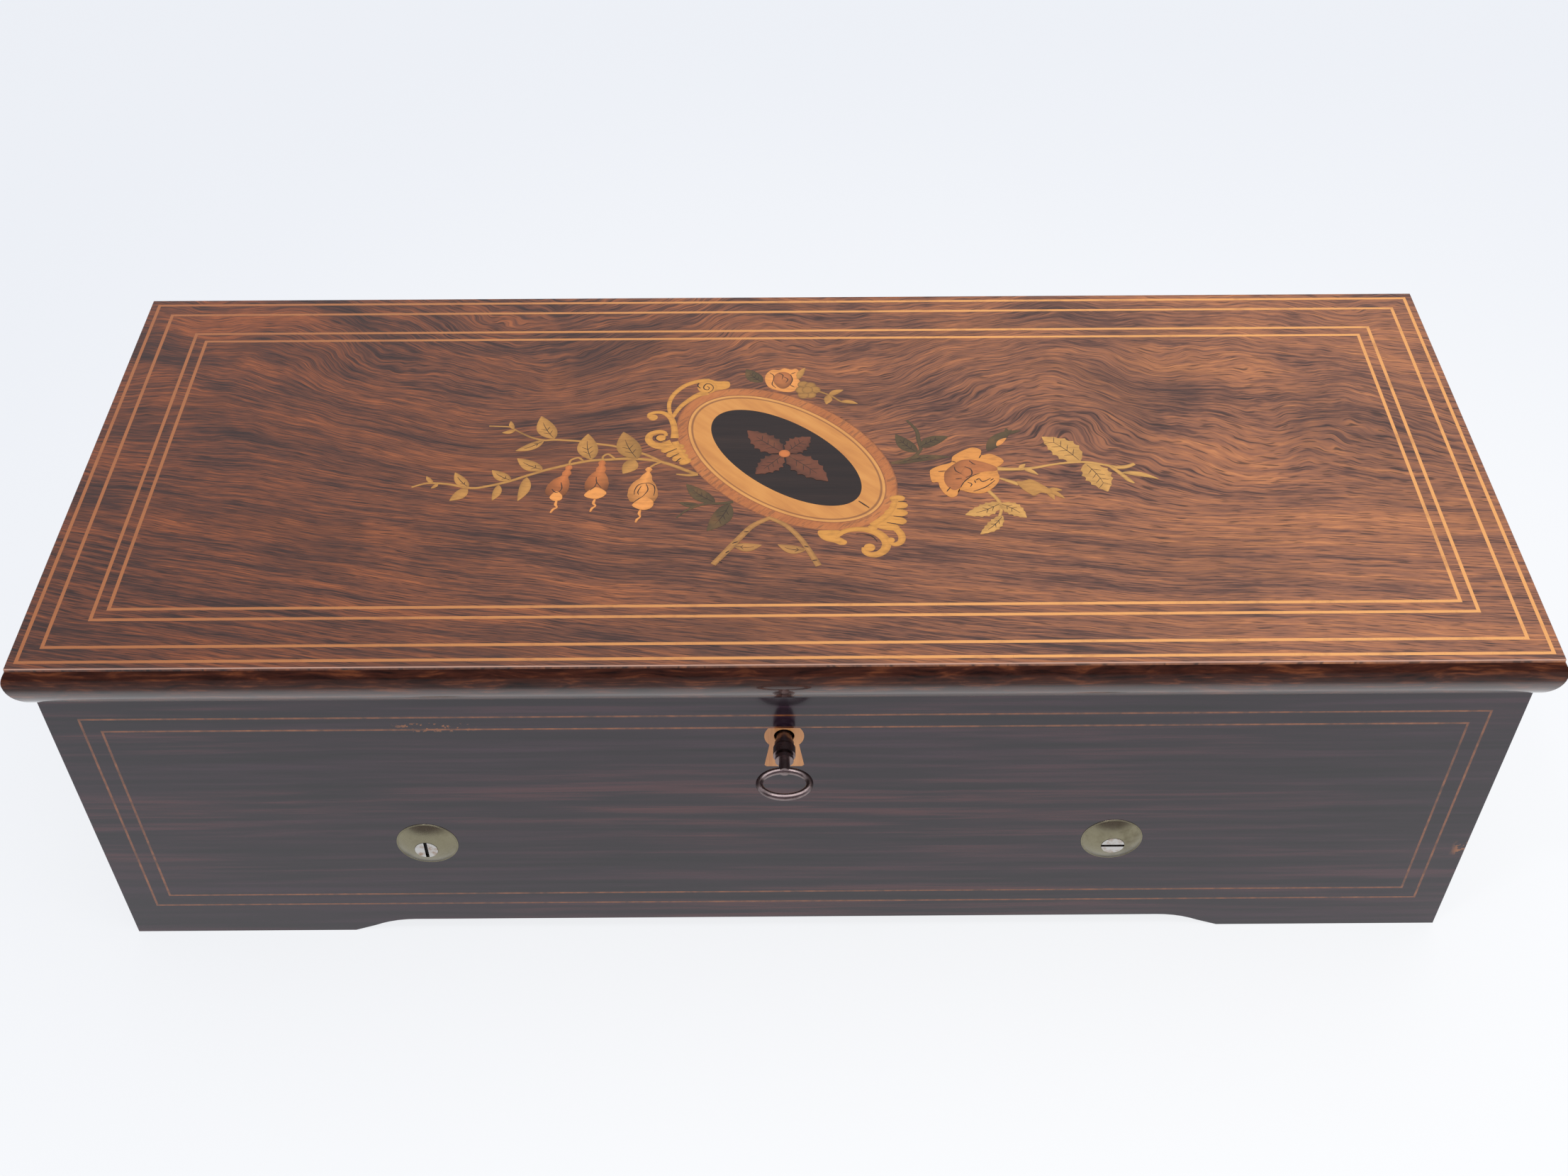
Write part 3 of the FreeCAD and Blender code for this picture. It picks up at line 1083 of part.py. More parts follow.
def make_cocks():
    left_x = "(%s - cock_t)" % COCK_L
    web = block(left_x, COCK_L, "cyl_y", BARREL_Y, BED_TOP, "(%s + web_h)" % BED_TOP)
    left = join(web, *post(left_x, "cyl_y", CYL_Z), *post(left_x, BARREL_Y, BARREL_Z))
    node("left_cock", less(left, rod("x", "arbor_r + fit", left_x, "cyl_y", CYL_Z, "cock_t"),
                           rod("x", "wind_r + fit", left_x, BARREL_Y, BARREL_Z, "cock_t")))
    barrel_x = "(%s - side_gap - cock_t)" % DRUM_0
    node("barrel_cock", less(join(*post(barrel_x, BARREL_Y, BARREL_Z)),
                             rod("x", "wind_r + fit", barrel_x, BARREL_Y, BARREL_Z, "cock_t")))
    arm = block(COCK_R, "(%s + cock_t)" % COCK_R, "change_y - arm_end", "cyl_y",
                BED_TOP, "(%s + arm_end)" % SHAFT_Z)
    bores = [rod("x", "arbor_r + fit", COCK_R, "cyl_y", CYL_Z, "cock_t")]
    for y in ("stop_y", "change_y"):
        bores.append(rod("x", "shaft_r + fit", COCK_R, y, SHAFT_Z, "cock_t"))
    node("right_cock", less(join(arm, *post(COCK_R, "cyl_y", CYL_Z)), *bores))


def make_comb():
    base = block(COMB_0, COMB_1, COMB_Y, "(%s + comb_body)" % COMB_Y, BED_TOP, COMB_Z)
    top = "(%s + comb_t)" % COMB_Z
    y = "(%s + comb_body/2)" % COMB_Y
    heads, shanks = [], []
    for index in range(int(val("comb_screw_count"))):
        x = "(%s + (%s - %s)*(%d + 0.5)/comb_screw_count)" % (COMB_0, COMB_1, COMB_0, index)
        shank = rod("z", "comb_screw_r", x, y, "(%s - comb_screw_in)" % COMB_Z, "comb_screw_in + comb_t")
        head = rod("z", "comb_head_r", x, y, top, "comb_head_t")
        slot = block("%s - comb_head_r" % x, "(%s + comb_head_r)" % x, "%s - slot_w/2" % y,
                     "(%s + slot_w/2)" % y, "(%s + comb_head_t - slot_d)" % top, "(%s + comb_head_t)" % top)
        shanks.append(shank)
        heads.append(less(join(shank, head), slot))
    node("comb_base", less(base, *shanks))
    node("comb", less(plain(comb_shape()), *shanks))
    node("comb_screws", group(*heads))


def comb_shape():
    """A steel plate slit into teeth that shorten towards the treble end."""
    x0, x1 = val(COMB_0), val(COMB_1)
    count = int(val("comb_teeth"))
    pitch = (x1 - x0)/count
    slot = val("comb_slot")
    tip = val(COMB_TIP)
    level = val(COMB_Z)
    longest = val(TOOTH_LONG)
    corners = [V(x0, val(COMB_Y), level), V(x1, val(COMB_Y), level)]
    for index in range(count - 1, -1, -1):
        share = index/(count - 1)
        root = tip - longest*(1 - share*(1 - val("treble_share")))
        right = x0 + (index + 1)*pitch - (slot if index < count - 1 else 0)
        left = x0 + index*pitch
        corners += [V(right, tip, level), V(left, tip, level)]
        if index:
            corners += [V(left, root, level), V(left - slot, root, level)]
    return Part.Face(Part.makePolygon(corners + corners[:1])).extrude(V(0, 0, val("comb_t")))


# Governor: two geared arbors and an endless screw whose fly brakes the cylinder.

def make_governor():
    plates = []
    y0, y1 = "(%s - gov_side)" % FIRST_Y, "(%s + gov_side)" % WORM_Y
    for x0 in (GOV_0, "(%s - gov_plate)" % GOV_1):
        plates.append(block(x0, "(%s + gov_plate)" % x0, y0, y1, BED_TOP, GOV_TOP))
    foot = block(GOV_0, GOV_1, y0, y1, BED_TOP, "(%s + gov_plate)" % BED_TOP)
    bridge = block(GOV_0, GOV_1, "%s - bridge_half" % WORM_Y, "(%s + bridge_half)" % WORM_Y,
                   "(%s - gov_plate)" % GOV_TOP, GOV_TOP)
    bores = []
    for y, z in ((FIRST_Y, FIRST_Z), (SECOND_Y, SECOND_Z)):
        bores.append(rod("x", "gov_arbor_r + fit", GOV_0, y, z, "gov_len"))
    bores.append(rod("z", "worm_shaft_r + fit", WORM_X, WORM_Y, "%s + pivot_wall" % BED_TOP,
                     "gov_h - 2*pivot_wall"))
    node("governor_frame", less(join(foot, bridge, *plates), *bores))

    to_great = math.atan2(val(CYL_Z) - val(FIRST_Z), val("cyl_y") - val(FIRST_Y))
    to_second = math.atan2(val(SECOND_Z) - val(FIRST_Z), val(SECOND_Y) - val(FIRST_Y))
    leaves = val("leaf_teeth")
    step = val("wheel_inset")
    wheel_x = val("%s + gov_plate + gov_in" % GOV_0)
    at_first = (val(FIRST_Y), val(FIRST_Z))
    at_second = (val(SECOND_Y), val(SECOND_Z))
    arbor_0 = "(%s - side_gap)" % GREAT_0
    first = [
        gear(leaves, val("module_1"), to_great + math.pi/leaves, val(GREAT_0) - step, *at_first,
             val("great_t") + 2*step),
        gear(val("first_teeth"), val("module_2"), to_second, wheel_x, *at_first, val("gov_wheel_t")),
        rod("x", "gov_arbor_r", arbor_0, FIRST_Y, FIRST_Z, "%s - %s" % (GOV_1, arbor_0)),
    ]
    node("first_governor_wheel", join(*first))
    thick = val("worm_wheel_t")
    second = [
        gear(leaves, val("module_2"), to_second + math.pi + math.pi/leaves, wheel_x - step, *at_second,
             val("gov_wheel_t") + 2*step),
        gear(val("second_teeth"), val("module_2"), 0, val(WORM_X) - thick/2, *at_second, thick),
        rod("x", "gov_arbor_r", GOV_0, SECOND_Y, SECOND_Z, "gov_len"),
    ]
    node("second_governor_wheel", join(*second))
    make_fly()


def make_fly():
    shaft = rod("z", "worm_shaft_r", WORM_X, WORM_Y, "%s + pivot_wall + end_shake" % BED_TOP,
                "gov_h - 2*(pivot_wall + end_shake)")
    core = rod("z", "worm_core_r", WORM_X, WORM_Y, "%s - worm_len/2" % SECOND_Z, "worm_len")
    node("endless_screw", join(shaft, core, plain(worm_thread())))
    low = "(%s + fly_up)" % BED_TOP
    wings = block("%s - fly_r" % WORM_X, "(%s + fly_r)" % WORM_X, "%s - wing_t/2" % WORM_Y,
                  "(%s + wing_t/2)" % WORM_Y, low, "(%s + fly_h)" % low)
    hub = rod("z", "fly_hub_r", WORM_X, WORM_Y, low, "fly_h")
    node("fly", less(join(wings, hub), rod("z", "worm_shaft_r", WORM_X, WORM_Y, low, "fly_h")))


def worm_thread():
    """One start, swept along a helix; a gap faces each tooth of the worm wheel at rest."""
    pitch = math.pi*val("module_2")
    turns = val("worm_turns")
    core, out = val("worm_core_r - thread_sink"), val("worm_out_r")
    low = val(SECOND_Z) - turns*pitch/2 + pitch/4
    helix = Part.makeHelix(pitch, turns*pitch, core)
    half_root, half_tip = val("thread_root"), val("thread_tip")
    corners = [V(core, 0, -half_root), V(out, 0, -half_tip), V(out, 0, half_tip), V(core, 0, half_root)]
    profile = Part.makePolygon(corners + corners[:1])
    thread = Part.Wire(helix).makePipeShell([profile], True, True)
    thread.translate(V(val(WORM_X), val(WORM_Y), low))
    return thread


# Control levers at the right: a knobbed lever, its shaft and a finger beside the great wheel.

def control_lever(label, shaft_y, lever_x, finger_x, reach):
    """reach is how far from the cylinder's axis the finger's tip stays."""
    plane_x = "(%s + part_t + %s)" % (RIGHT_WALL, lever_x)
    shaft = rod("x", "shaft_r", finger_x, shaft_y, SHAFT_Z, "%s + blade_t - %s" % (plane_x, finger_x))
    outline = [("-blade_root", "-blade_root"), ("blade_root", "-blade_root"),
               ("blade_tip", "tall"), ("-blade_tip", "tall")]
    blade = slab("YZ", outline, plane_x, shaft_y, SHAFT_Z, "blade_t")
    knob = rod("x", "knob_r", "%s - (knob_len - blade_t)/2" % plane_x, shaft_y, "(%s + tall)" % SHAFT_Z,
               "knob_len")
    rise = "%s - %s" % (CYL_Z, SHAFT_Z)
    end = "sqrt((cyl_y - %s)^2 + (%s)^2) - %s" % (shaft_y, rise, reach)
    outline = [("0", "-finger_root"), (end, "-finger_tip"), (end, "finger_tip"), ("0", "finger_root")]
    finger = slab("YZ", outline, finger_x, shaft_y, SHAFT_Z, "finger_t",
                  "atan((%s)/(cyl_y - %s))" % (rise, shaft_y))
    hub = rod("x", "blade_root", finger_x, shaft_y, SHAFT_Z, "finger_t")
    node(label, join(shaft, blade, knob, finger, hub))


def make_levers():
    tip = "(great_teeth*module_1/2 + module_1 + stop_gap)"
    control_lever("start_lever", "stop_y", "start_x", GREAT_0, tip)
    snail_reach = "(snail_off + snail_r + change_gap)"
    control_lever("change_lever", "change_y", "change_x", "(%s - change_in)" % GREAT_0, snail_reach)


make_case()
make_partitions()
make_lid()
make_lock()
make_key()
make_hinges()
make_glass_lid()
make_bedplate()
make_cylinder()
make_barrel()
make_winding()
make_cocks()
make_comb()
make_governor()
make_levers()
doc.recompute()

for obj in doc.Objects:
    if "Invalid" in obj.State or "Error" in obj.State:
        raise RuntimeError("%s (%s) did not build: %s" % (obj.Name, obj.Label, obj.State))
for obj in nodes:
    shape = obj.Shape
    if shape.isNull() or not shape.isValid() or not shape.Solids:
        raise RuntimeError("%s has no valid solid" % obj.Label)
    shape.exportStep("parts/%s.step" % obj.Label)
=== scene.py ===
import json
import math
import random

import bmesh
import bpy
from mathutils import Matrix, Vector

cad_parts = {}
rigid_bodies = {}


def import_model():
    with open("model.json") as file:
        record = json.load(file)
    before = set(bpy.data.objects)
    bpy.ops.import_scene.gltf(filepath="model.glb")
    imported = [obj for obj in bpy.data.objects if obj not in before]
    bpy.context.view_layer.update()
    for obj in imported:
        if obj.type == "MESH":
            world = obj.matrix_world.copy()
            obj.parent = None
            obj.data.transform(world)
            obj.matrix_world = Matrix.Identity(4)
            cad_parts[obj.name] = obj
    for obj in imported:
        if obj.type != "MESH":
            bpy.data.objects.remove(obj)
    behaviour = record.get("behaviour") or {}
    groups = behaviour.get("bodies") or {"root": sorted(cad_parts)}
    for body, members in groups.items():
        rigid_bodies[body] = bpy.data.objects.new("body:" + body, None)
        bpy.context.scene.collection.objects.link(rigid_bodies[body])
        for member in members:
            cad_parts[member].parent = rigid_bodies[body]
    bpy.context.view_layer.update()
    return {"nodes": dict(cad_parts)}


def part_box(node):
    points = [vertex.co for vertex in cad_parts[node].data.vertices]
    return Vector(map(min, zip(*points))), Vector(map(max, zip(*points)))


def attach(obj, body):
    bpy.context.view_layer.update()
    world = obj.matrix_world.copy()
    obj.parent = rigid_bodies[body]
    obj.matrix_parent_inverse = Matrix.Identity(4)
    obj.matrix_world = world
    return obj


for leftover in list(bpy.data.objects):
    bpy.data.objects.remove(leftover)

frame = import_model()
piece = frame["nodes"]


# Case boards: front, back and two ends of softwood, stained black, filled and french polished.
# The front has faded to a dull red in long streaks, with a chip at the right and a small nick.

class Tone:
    """A value or colour on its way to a finish; sums on it lay the nodes they need."""

    tree = None

    def __init__(self, socket):
        self.socket = socket

    @staticmethod
    def node(kind, out=None, settings=None, **sockets):
        made = Tone.tree.nodes.new(kind)
        for key, value in (settings or {}).items():
            if key == "stops":
                ramp = made.color_ramp.elements
                ramp.remove(ramp[1])
                ramp[0].position, ramp[0].color = value[0]
                for at, colour in value[1:]:
                    ramp.new(at).color = colour
            else:
                setattr(made, key, value)
        for key, value in sockets.items():
            names = (key, key.replace("_", " "))
            socket = next(s for s in made.inputs if s.identifier in names)
            if isinstance(value, Tone):
                Tone.tree.links.new(value.socket, socket)
            else:
                socket.default_value = value
        if not made.outputs:
            return made
        return Tone(next(s for s in made.outputs if out in (None, s.identifier)))

    @staticmethod
    def maths(operation, first, second):
        return Tone.node("ShaderNodeMath", settings={"operation": operation},
                         Value=first, Value_001=second)

    def __add__(self, other):
        return self.maths("ADD", self, other)

    __radd__ = __add__

    def __sub__(self, other):
        return self.maths("SUBTRACT", self, other)

    def __rsub__(self, other):
        return self.maths("SUBTRACT", other, self)

    def __mul__(self, other):
        return self.maths("MULTIPLY", self, other)

    __rmul__ = __mul__

    def over(self, low, high):
        """0 below low, 1 above high, with a soft step between; low above high turns it round."""
        return Tone.node("ShaderNodeMapRange", settings={"interpolation_type": "SMOOTHSTEP"},
                         Value=self, From_Min=low, From_Max=high)

    def within(self, start, full, fade, end):
        """1 from full to fade, with a soft step to 0 at start and at end."""
        return self.over(start, full) * self.over(end, fade)

    def top(self, *others):
        """The highest of several values."""
        highest = self
        for other in others:
            highest = self.maths("MAXIMUM", highest, other)
        return highest


def stain(red, green, blue):
    """A colour as a painter's chart gives it, 0 to 255, made linear."""
    shares = [part / 255 for part in (red, green, blue)]
    line = [c / 12.92 if c <= 0.04045 else ((c + 0.055) / 1.055) ** 2.4 for c in shares]
    return (*line, 1.0)


def begin(name):
    """A new finish; the nodes that follow are laid in it."""
    made = bpy.data.materials.new(name)
    made.use_nodes = True
    made.node_tree.nodes.clear()
    Tone.tree = made.node_tree
    return made


def close(shader_sockets, height=None, relief=0.0001, strength=0.5):
    """Ends a finish with its shader, over a relief where a height is given."""
    if height is not None:
        shader_sockets["Normal"] = Tone.node("ShaderNodeBump", Height=height,
                                             Distance=relief, Strength=strength)
    shader = Tone.node("ShaderNodeBsdfPrincipled", **shader_sockets)
    Tone.node("ShaderNodeOutputMaterial", Surface=shader)


def spot():
    """The place on the piece, in metres."""
    return Tone.node("ShaderNodeTexCoord", "Object")


def axis_of(where, letter):
    return Tone.node("ShaderNodeSeparateXYZ", letter, Vector=where)


def stretched(where, scale, move=(0, 0, 0), turn=(0, 0, 0)):
    return Tone.node("ShaderNodeMapping", Vector=where, Location=move, Rotation=turn,
                     Scale=scale)


def cloud(where, scale, detail=3.0, rough=0.55, twist=0.0):
    return Tone.node("ShaderNodeTexNoise", Vector=where, Scale=scale, Detail=detail,
                     Roughness=rough, Distortion=twist)


def wander(where, scale, reach):
    """The place moved about by a soft noise, so that grain isn't ruled."""
    push = Tone.node("ShaderNodeTexNoise", "Color", Vector=where, Scale=scale, Detail=2.0)
    return Tone.node("ShaderNodeVectorMath", settings={"operation": "MULTIPLY_ADD"},
                     Vector=push, Vector_001=reach, Vector_002=where)


def mixed(share, first, second):
    return Tone.node("ShaderNodeMix", "Result_Color", {"data_type": "RGBA"},
                     Factor_Float=share, A_Color=first, B_Color=second)


def dyed(figure, stops):
    """The figure in colours; each stop is its place from 0 to 1 and a chart colour."""
    ramp = [(at, stain(*chart)) for at, *chart in stops]
    return Tone.node("ShaderNodeValToRGB", settings={"stops": ramp}, Fac=figure)


ALONG_X, ALONG_Y, ALONG_Z = (0.05, 1, 1), (1, 0.05, 1), (1, 1, 0.05)


def wood(name, stops, run=ALONG_X, streak=160.0, drift=0.012, gloss=(0.22, 0.36), pore=0.4,
         **more):
    """Board with grain along one direction: streaks, pores, and a polish that isn't quite even."""
    made = begin(name)
    here = spot()
    lines = stretched(wander(here, 6.0, (drift,) * 3), run)
    streaks = cloud(lines, streak, 5.0, 0.62)
    pores = cloud(lines, streak * 9, 2.0, 0.5)
    colour = dyed(streaks * 0.8 + pores * 0.2, stops)
    patchy = cloud(here, 24.0, 3.0)
    rough = patchy * (gloss[1] - gloss[0]) + gloss[0]
    close({"Base_Color": colour, "Roughness": rough, **more}, pores, 0.00006, pore)
    return made


def dress(made, *names):
    """Gives pieces of the box a finish."""
    for name in names:
        slots = piece[name].data.materials
        slots.clear()
        slots.append(made)


BLACK, SLATE = (30, 20, 20), (48, 34, 34)
EBONISED = [(0.3, *BLACK), (0.52, *SLATE), (0.72, 58, 40, 40)]
for name, run, boards in (("ebonised_back", ALONG_X, ["back_board"]),
                          ("ebonised_ends", ALONG_Y, ["left_end", "right_end"])):
    polish = wood(name, EBONISED, run, gloss=(0.1, 0.24), pore=0.12,
                  Coat_Weight=0.4, Coat_Roughness=0.06)
    dress(polish, *boards)

CHIP_X, CHIP_Z = (0.2345, 0.2378), (0.041, 0.0445, 0.047, 0.0505)
NICK_X, NICK_Z = (-0.13, -0.122, -0.106, -0.1), (0.1118, 0.113, 0.1155, 0.117)
front_polish = begin("front_polish")
here = spot()
side, height = axis_of(here, "X"), axis_of(here, "Z")
lines = stretched(wander(here, 5.0, (0.01, 0.01, 0.004)), (0.03, 1, 1))
streaks = cloud(lines, 260.0, 4.0, 0.66)
broad = cloud(stretched(here, (0.16, 1, 1)), 22.0, 4.0, 0.6)
to_the_left = side.over(0.24, -0.08) * 0.36 + 0.2
faded = streaks.over(0.44, 0.7) * broad.over(0.36, 0.64) * to_the_left
chip = cloud(here, 420.0, 3.0).over(0.5, 0.56) * side.over(*CHIP_X) * height.within(*CHIP_Z)
nick = cloud(here, 500.0, 2.0).over(0.56, 0.62) * side.within(*NICK_X) * height.within(*NICK_Z)
colour = dyed(streaks, [(0.32, 20, 12, 21), (0.5, 37, 23, 34), (0.7, 57, 36, 49)])
colour = mixed(faded, colour, stain(104, 54, 48))
colour = mixed(chip.top(nick), colour, stain(150, 92, 52))
close({"Base_Color": colour, "Roughness": cloud(here, 26.0) * 0.12 + 0.1,
       "Coat_Weight": 0.2, "Coat_Roughness": 0.05}, streaks, 0.00004, 0.2)
dress(front_polish, "front_board")


# Inside of the case: two thin fruitwood partitions make the lever bays at the ends,
# and a ledge behind the front carries the glass lid. All are stained and left unpolished.

lining = wood("stained_lining", [(0.3, 62, 34, 22), (0.55, 96, 58, 36), (0.8, 122, 78, 48)],
              streak=120.0, gloss=(0.45, 0.6))
dress(lining, "left_partition", "right_partition", "glass_ledge")


# Base board: planed deal, let in between the case boards above the feet.
# Broad pale and brown growth rings run along it, and it is left unpolished.

deal = wood("planed_deal", [(0.3, 120, 82, 48), (0.5, 170, 126, 78), (0.75, 188, 146, 96)],
            streak=60.0, drift=0.03, gloss=(0.6, 0.78), pore=0.6)
dress(deal, "base_board")


# Front stringing: two thin boxwood lines let into the ebonised front, darkened by polish.
# In places the polish has covered them or the line has worn away.

worn_line = begin("worn_stringing")
here = spot()
worn = cloud(here, 90.0, 4.0, 0.7).over(0.5, 0.68)
along = cloud(here, 300.0, 3.0)
colour = dyed(along, [(0.3, 94, 52, 32), (0.6, 134, 78, 46), (0.8, 156, 98, 58)])
colour = mixed(worn * 0.62, colour, stain(52, 34, 29))
close({"Base_Color": colour, "Roughness": along * 0.1 + 0.16, "Coat_Weight": 0.3,
       "Coat_Roughness": 0.08}, along, 0.00003, 0.3)
dress(worn_line, "front_stringing")


# Escutcheon: a shaped plate of light fruitwood let into the front round the keyhole.
# Its grain stands upright, and old polish has turned it orange.

fruitwood = wood("escutcheon_fruitwood",
                 [(0.3, 168, 108, 64), (0.55, 204, 142, 88), (0.8, 220, 162, 108)],
                 run=ALONG_Z, streak=220.0, gloss=(0.22, 0.34))
dress(fruitwood, "escutcheon")


# Bed screws: four steel screws pass through dished washers in front and back into the bedplate.
# The washers have tarnished to olive bronze, and old polish fills the slots of the screws.

def metal(name, bright, dull, rough=(0.2, 0.42), run=None, patch=40.0, grimed=None):
    """Metal with tarnish in patches, fine tool marks along one direction, and an uneven shine."""
    bright, dull = stain(*bright), stain(*dull)
    made = begin(name)
    here = spot()
    spread = cloud(here, patch, 5.0, 0.62)
    marks = cloud(stretched(here, run or (1, 1, 1)), 1500.0, 2.0, 0.6)
    colour = mixed(spread.over(0.45, 0.75), bright, dull)
    colour = mixed(marks * 0.22, colour, dull)
    if grimed:
        colour = mixed(grimed(here), colour, stain(24, 20, 18))
    shine = spread * (rough[1] - rough[0]) + rough[0] + marks * 0.05
    close({"Base_Color": colour, "Roughness": shine, "Metallic": 1.0}, marks, 0.00002, 0.25)
    return made


bronze = metal("tarnished_washer", (142, 136, 114), (112, 105, 84), (0.2, 0.32), patch=120.0)
dress(bronze, "bedplate_washers")


def group_tree(name, *inputs):
    """A tree with one mesh out and named sizes in; returns it with its input and output nodes."""
    tree = bpy.data.node_groups.new(name, "GeometryNodeTree")
    tree.interface.new_socket("Geometry", in_out="INPUT", socket_type="NodeSocketGeometry")
    for label, kind in inputs:
        tree.interface.new_socket(label, in_out="INPUT", socket_type="NodeSocket" + kind)
    tree.interface.new_socket("Geometry", in_out="OUTPUT", socket_type="NodeSocketGeometry")
    return tree, tree.nodes.new("NodeGroupInput"), tree.nodes.new("NodeGroupOutput")


def lay(tree, kind, settings=None, **sockets):
    """Adds a geometry node; a socket takes a value or another node's output."""
    made = tree.nodes.new(kind)
    for key, value in (settings or {}).items():
        setattr(made, key, value)
    for key, value in sockets.items():
        names = (key, key.replace("_", " "))
        socket = next(s for s in made.inputs if s.identifier in names)
        if isinstance(value, bpy.types.NodeSocket):
            tree.links.new(value, socket)
        else:
            socket.default_value = value
    return made


def output_of(node):
    return node.outputs[0]


def stand(name, data):
    """Puts a mesh, a lamp or a camera into the scene under this name."""
    made = bpy.data.objects.new(name, data)
    bpy.context.scene.collection.objects.link(made)
    return made


def baked(name, mesh, tree, values):
    """Runs a tree on a mesh with these sizes and keeps the result as a plain mesh at the origin."""
    carrier = stand(name, mesh)
    modifier = carrier.modifiers.new("tree", "NODES")
    modifier.node_group = tree
    for item in tree.interface.items_tree:
        if item.in_out == "INPUT" and item.name in values:
            modifier[item.identifier] = values[item.name]
    ready = carrier.evaluated_get(bpy.context.evaluated_depsgraph_get())
    made = bpy.data.meshes.new_from_object(ready)
    carrier.modifiers.remove(modifier)
    carrier.data = made
    made.name = name
    return carrier


def points_mesh(name, places, directions):
    """Bare points, each with the direction its screw or pin stands in."""
    mesh = bpy.data.meshes.new(name)
    mesh.from_pydata([tuple(p) for p in places], [], [])
    mesh.attributes.new("stands", "FLOAT_VECTOR", "POINT")
    mesh.attributes["stands"].data.foreach_set("vector", [c for d in directions for c in d])
    return mesh


def set_on_points(name, sizes, shape, finish):
    """A tree that stands one shape on every point of a mesh, along that point's direction."""
    labels = [(label, "Float") for label in sizes]
    tree, given, result = group_tree(name, *labels, ("Finish", "Material"))
    stands = lay(tree, "GeometryNodeInputNamedAttribute", {"data_type": "FLOAT_VECTOR"},
                 Name="stands")
    turned = lay(tree, "FunctionNodeAlignRotationToVector", {"axis": "Z"},
                 Vector=output_of(stands))
    many = lay(tree, "GeometryNodeInstanceOnPoints", Points=given.outputs["Geometry"],
               Instance=output_of(shape(tree, given.outputs)), Rotation=output_of(turned))
    real = lay(tree, "GeometryNodeRealizeInstances", Geometry=output_of(many))
    coated = lay(tree, "GeometryNodeSetMaterial", Geometry=output_of(real),
                 Material=given.outputs["Finish"])
    tree.links.new(output_of(coated), result.inputs[0])
    return tree, {**sizes, "Finish": finish}


def rolled_rim(tree, sizes):
    """A thin round bead bent into a ring."""
    ring, wire = (lay(tree, "GeometryNodeCurvePrimitiveCircle", Resolution=corners,
                      Radius=sizes[label]) for label, corners in (("Radius", 56), ("Wire", 8)))
    return lay(tree, "GeometryNodeCurveToMesh", Curve=output_of(ring),
               Profile_Curve=output_of(wire))


WASHER_X, WASHER_Z = (-0.1256, 0.1141), 0.0525
RIM_RADIUS, RIM_WIRE = 0.0105, 0.0003
front_face, back_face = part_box("front_board")[0].y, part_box("back_board")[1].y
places = [(x, y, WASHER_Z) for y in (front_face, back_face) for x in WASHER_X]
directions = [(0, -1, 0)] * 2 + [(0, 1, 0)] * 2
rims = baked("washer_rims", points_mesh("washer_rims", places, directions),
             *set_on_points("rolled_rims", {"Radius": RIM_RADIUS, "Wire": RIM_WIRE},
                            rolled_rim, bronze))
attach(rims, "case")
SCREW_BRIGHT, SCREW_DULL, SCREW_SHINE = (204, 204, 202), (158, 130, 106), (0.22, 0.4)
screw_steel = metal("screw_steel", SCREW_BRIGHT, SCREW_DULL, SCREW_SHINE, patch=380.0)
dress(screw_steel, "comb_screws")
SLOT_LIP, SLOT_DEEP = 0.0001, 0.0004


def in_the_slot(where):
    """1 below the faces of the heads, where old polish fills the slots, less at the right."""
    front_head, back_head = (corner.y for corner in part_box("bedplate_screws"))
    sunk = axis_of(where, "Y").within(front_head + SLOT_LIP, front_head + SLOT_DEEP,
                                      back_head - SLOT_DEEP, back_head - SLOT_LIP)
    return sunk * (1 - axis_of(where, "X").over(0, 0.05) * 0.4)


grimed_screw = metal("grimed_screw_steel", SCREW_BRIGHT, SCREW_DULL, SCREW_SHINE, patch=380.0,
                     grimed=in_the_slot)
dress(grimed_screw, "bedplate_screws")


# Bedplate: one thick brass plate, surface-ground along its length and lacquered.
# The comb base, the cocks and the governor's frame are cast, filed and screwed down on it.

bed_brass = metal("ground_brass", (214, 178, 104), (176, 134, 68), (0.24, 0.36), ALONG_X)
dress(bed_brass, "bedplate")
cast_brass = metal("filed_brass", (206, 168, 98), (160, 120, 62), (0.28, 0.46), patch=70.0)
dress(cast_brass, "comb_base", "left_cock", "right_cock", "barrel_cock", "governor_frame")


# Comb: one plate of tempered steel sawn into teeth and screwed to its base.
# It is ground bright, with a faint straw tint and spots of rust.

comb_steel = begin("tempered_comb")
here = spot()
spread = cloud(here, 60.0, 5.0, 0.65)
ground = cloud(stretched(here, ALONG_Y), 1400.0, 2.0)
colour = mixed(spread.over(0.4, 0.7), stain(200, 202, 206), stain(172, 166, 154))
colour = mixed(cloud(here, 900.0, 4.0, 0.7).over(0.66, 0.74) * 0.7, colour, stain(104, 66, 44))
close({"Base_Color": colour, "Roughness": ground * 0.16 + 0.22, "Metallic": 1.0},
      ground, 0.00002, 0.3)
dress(comb_steel, "comb")


# Cylinder: a seamless brass tube turned smooth, closed by two caps on a steel arbor.
# Steel pins are set in it in rows, each where a tune plucks its tooth, and filed to one height.

cylinder_brass = metal("turned_cylinder", (222, 188, 116), (186, 146, 80), (0.22, 0.38),
                       run=(0.04, 1, 1))
dress(cylinder_brass, "cylinder_shell", "cylinder_caps")
arbor_steel = metal("turned_steel", (196, 194, 190), (140, 136, 130), (0.2, 0.36), patch=90.0)
dress(arbor_steel, "cylinder_arbor", "barrel_arbor", "lock_bolt", "hinge_pins")


def pin(tree, sizes):
    return lay(tree, "GeometryNodeMeshCylinder", Vertices=6, Radius=sizes["Radius"],
               Depth=sizes["Height"])


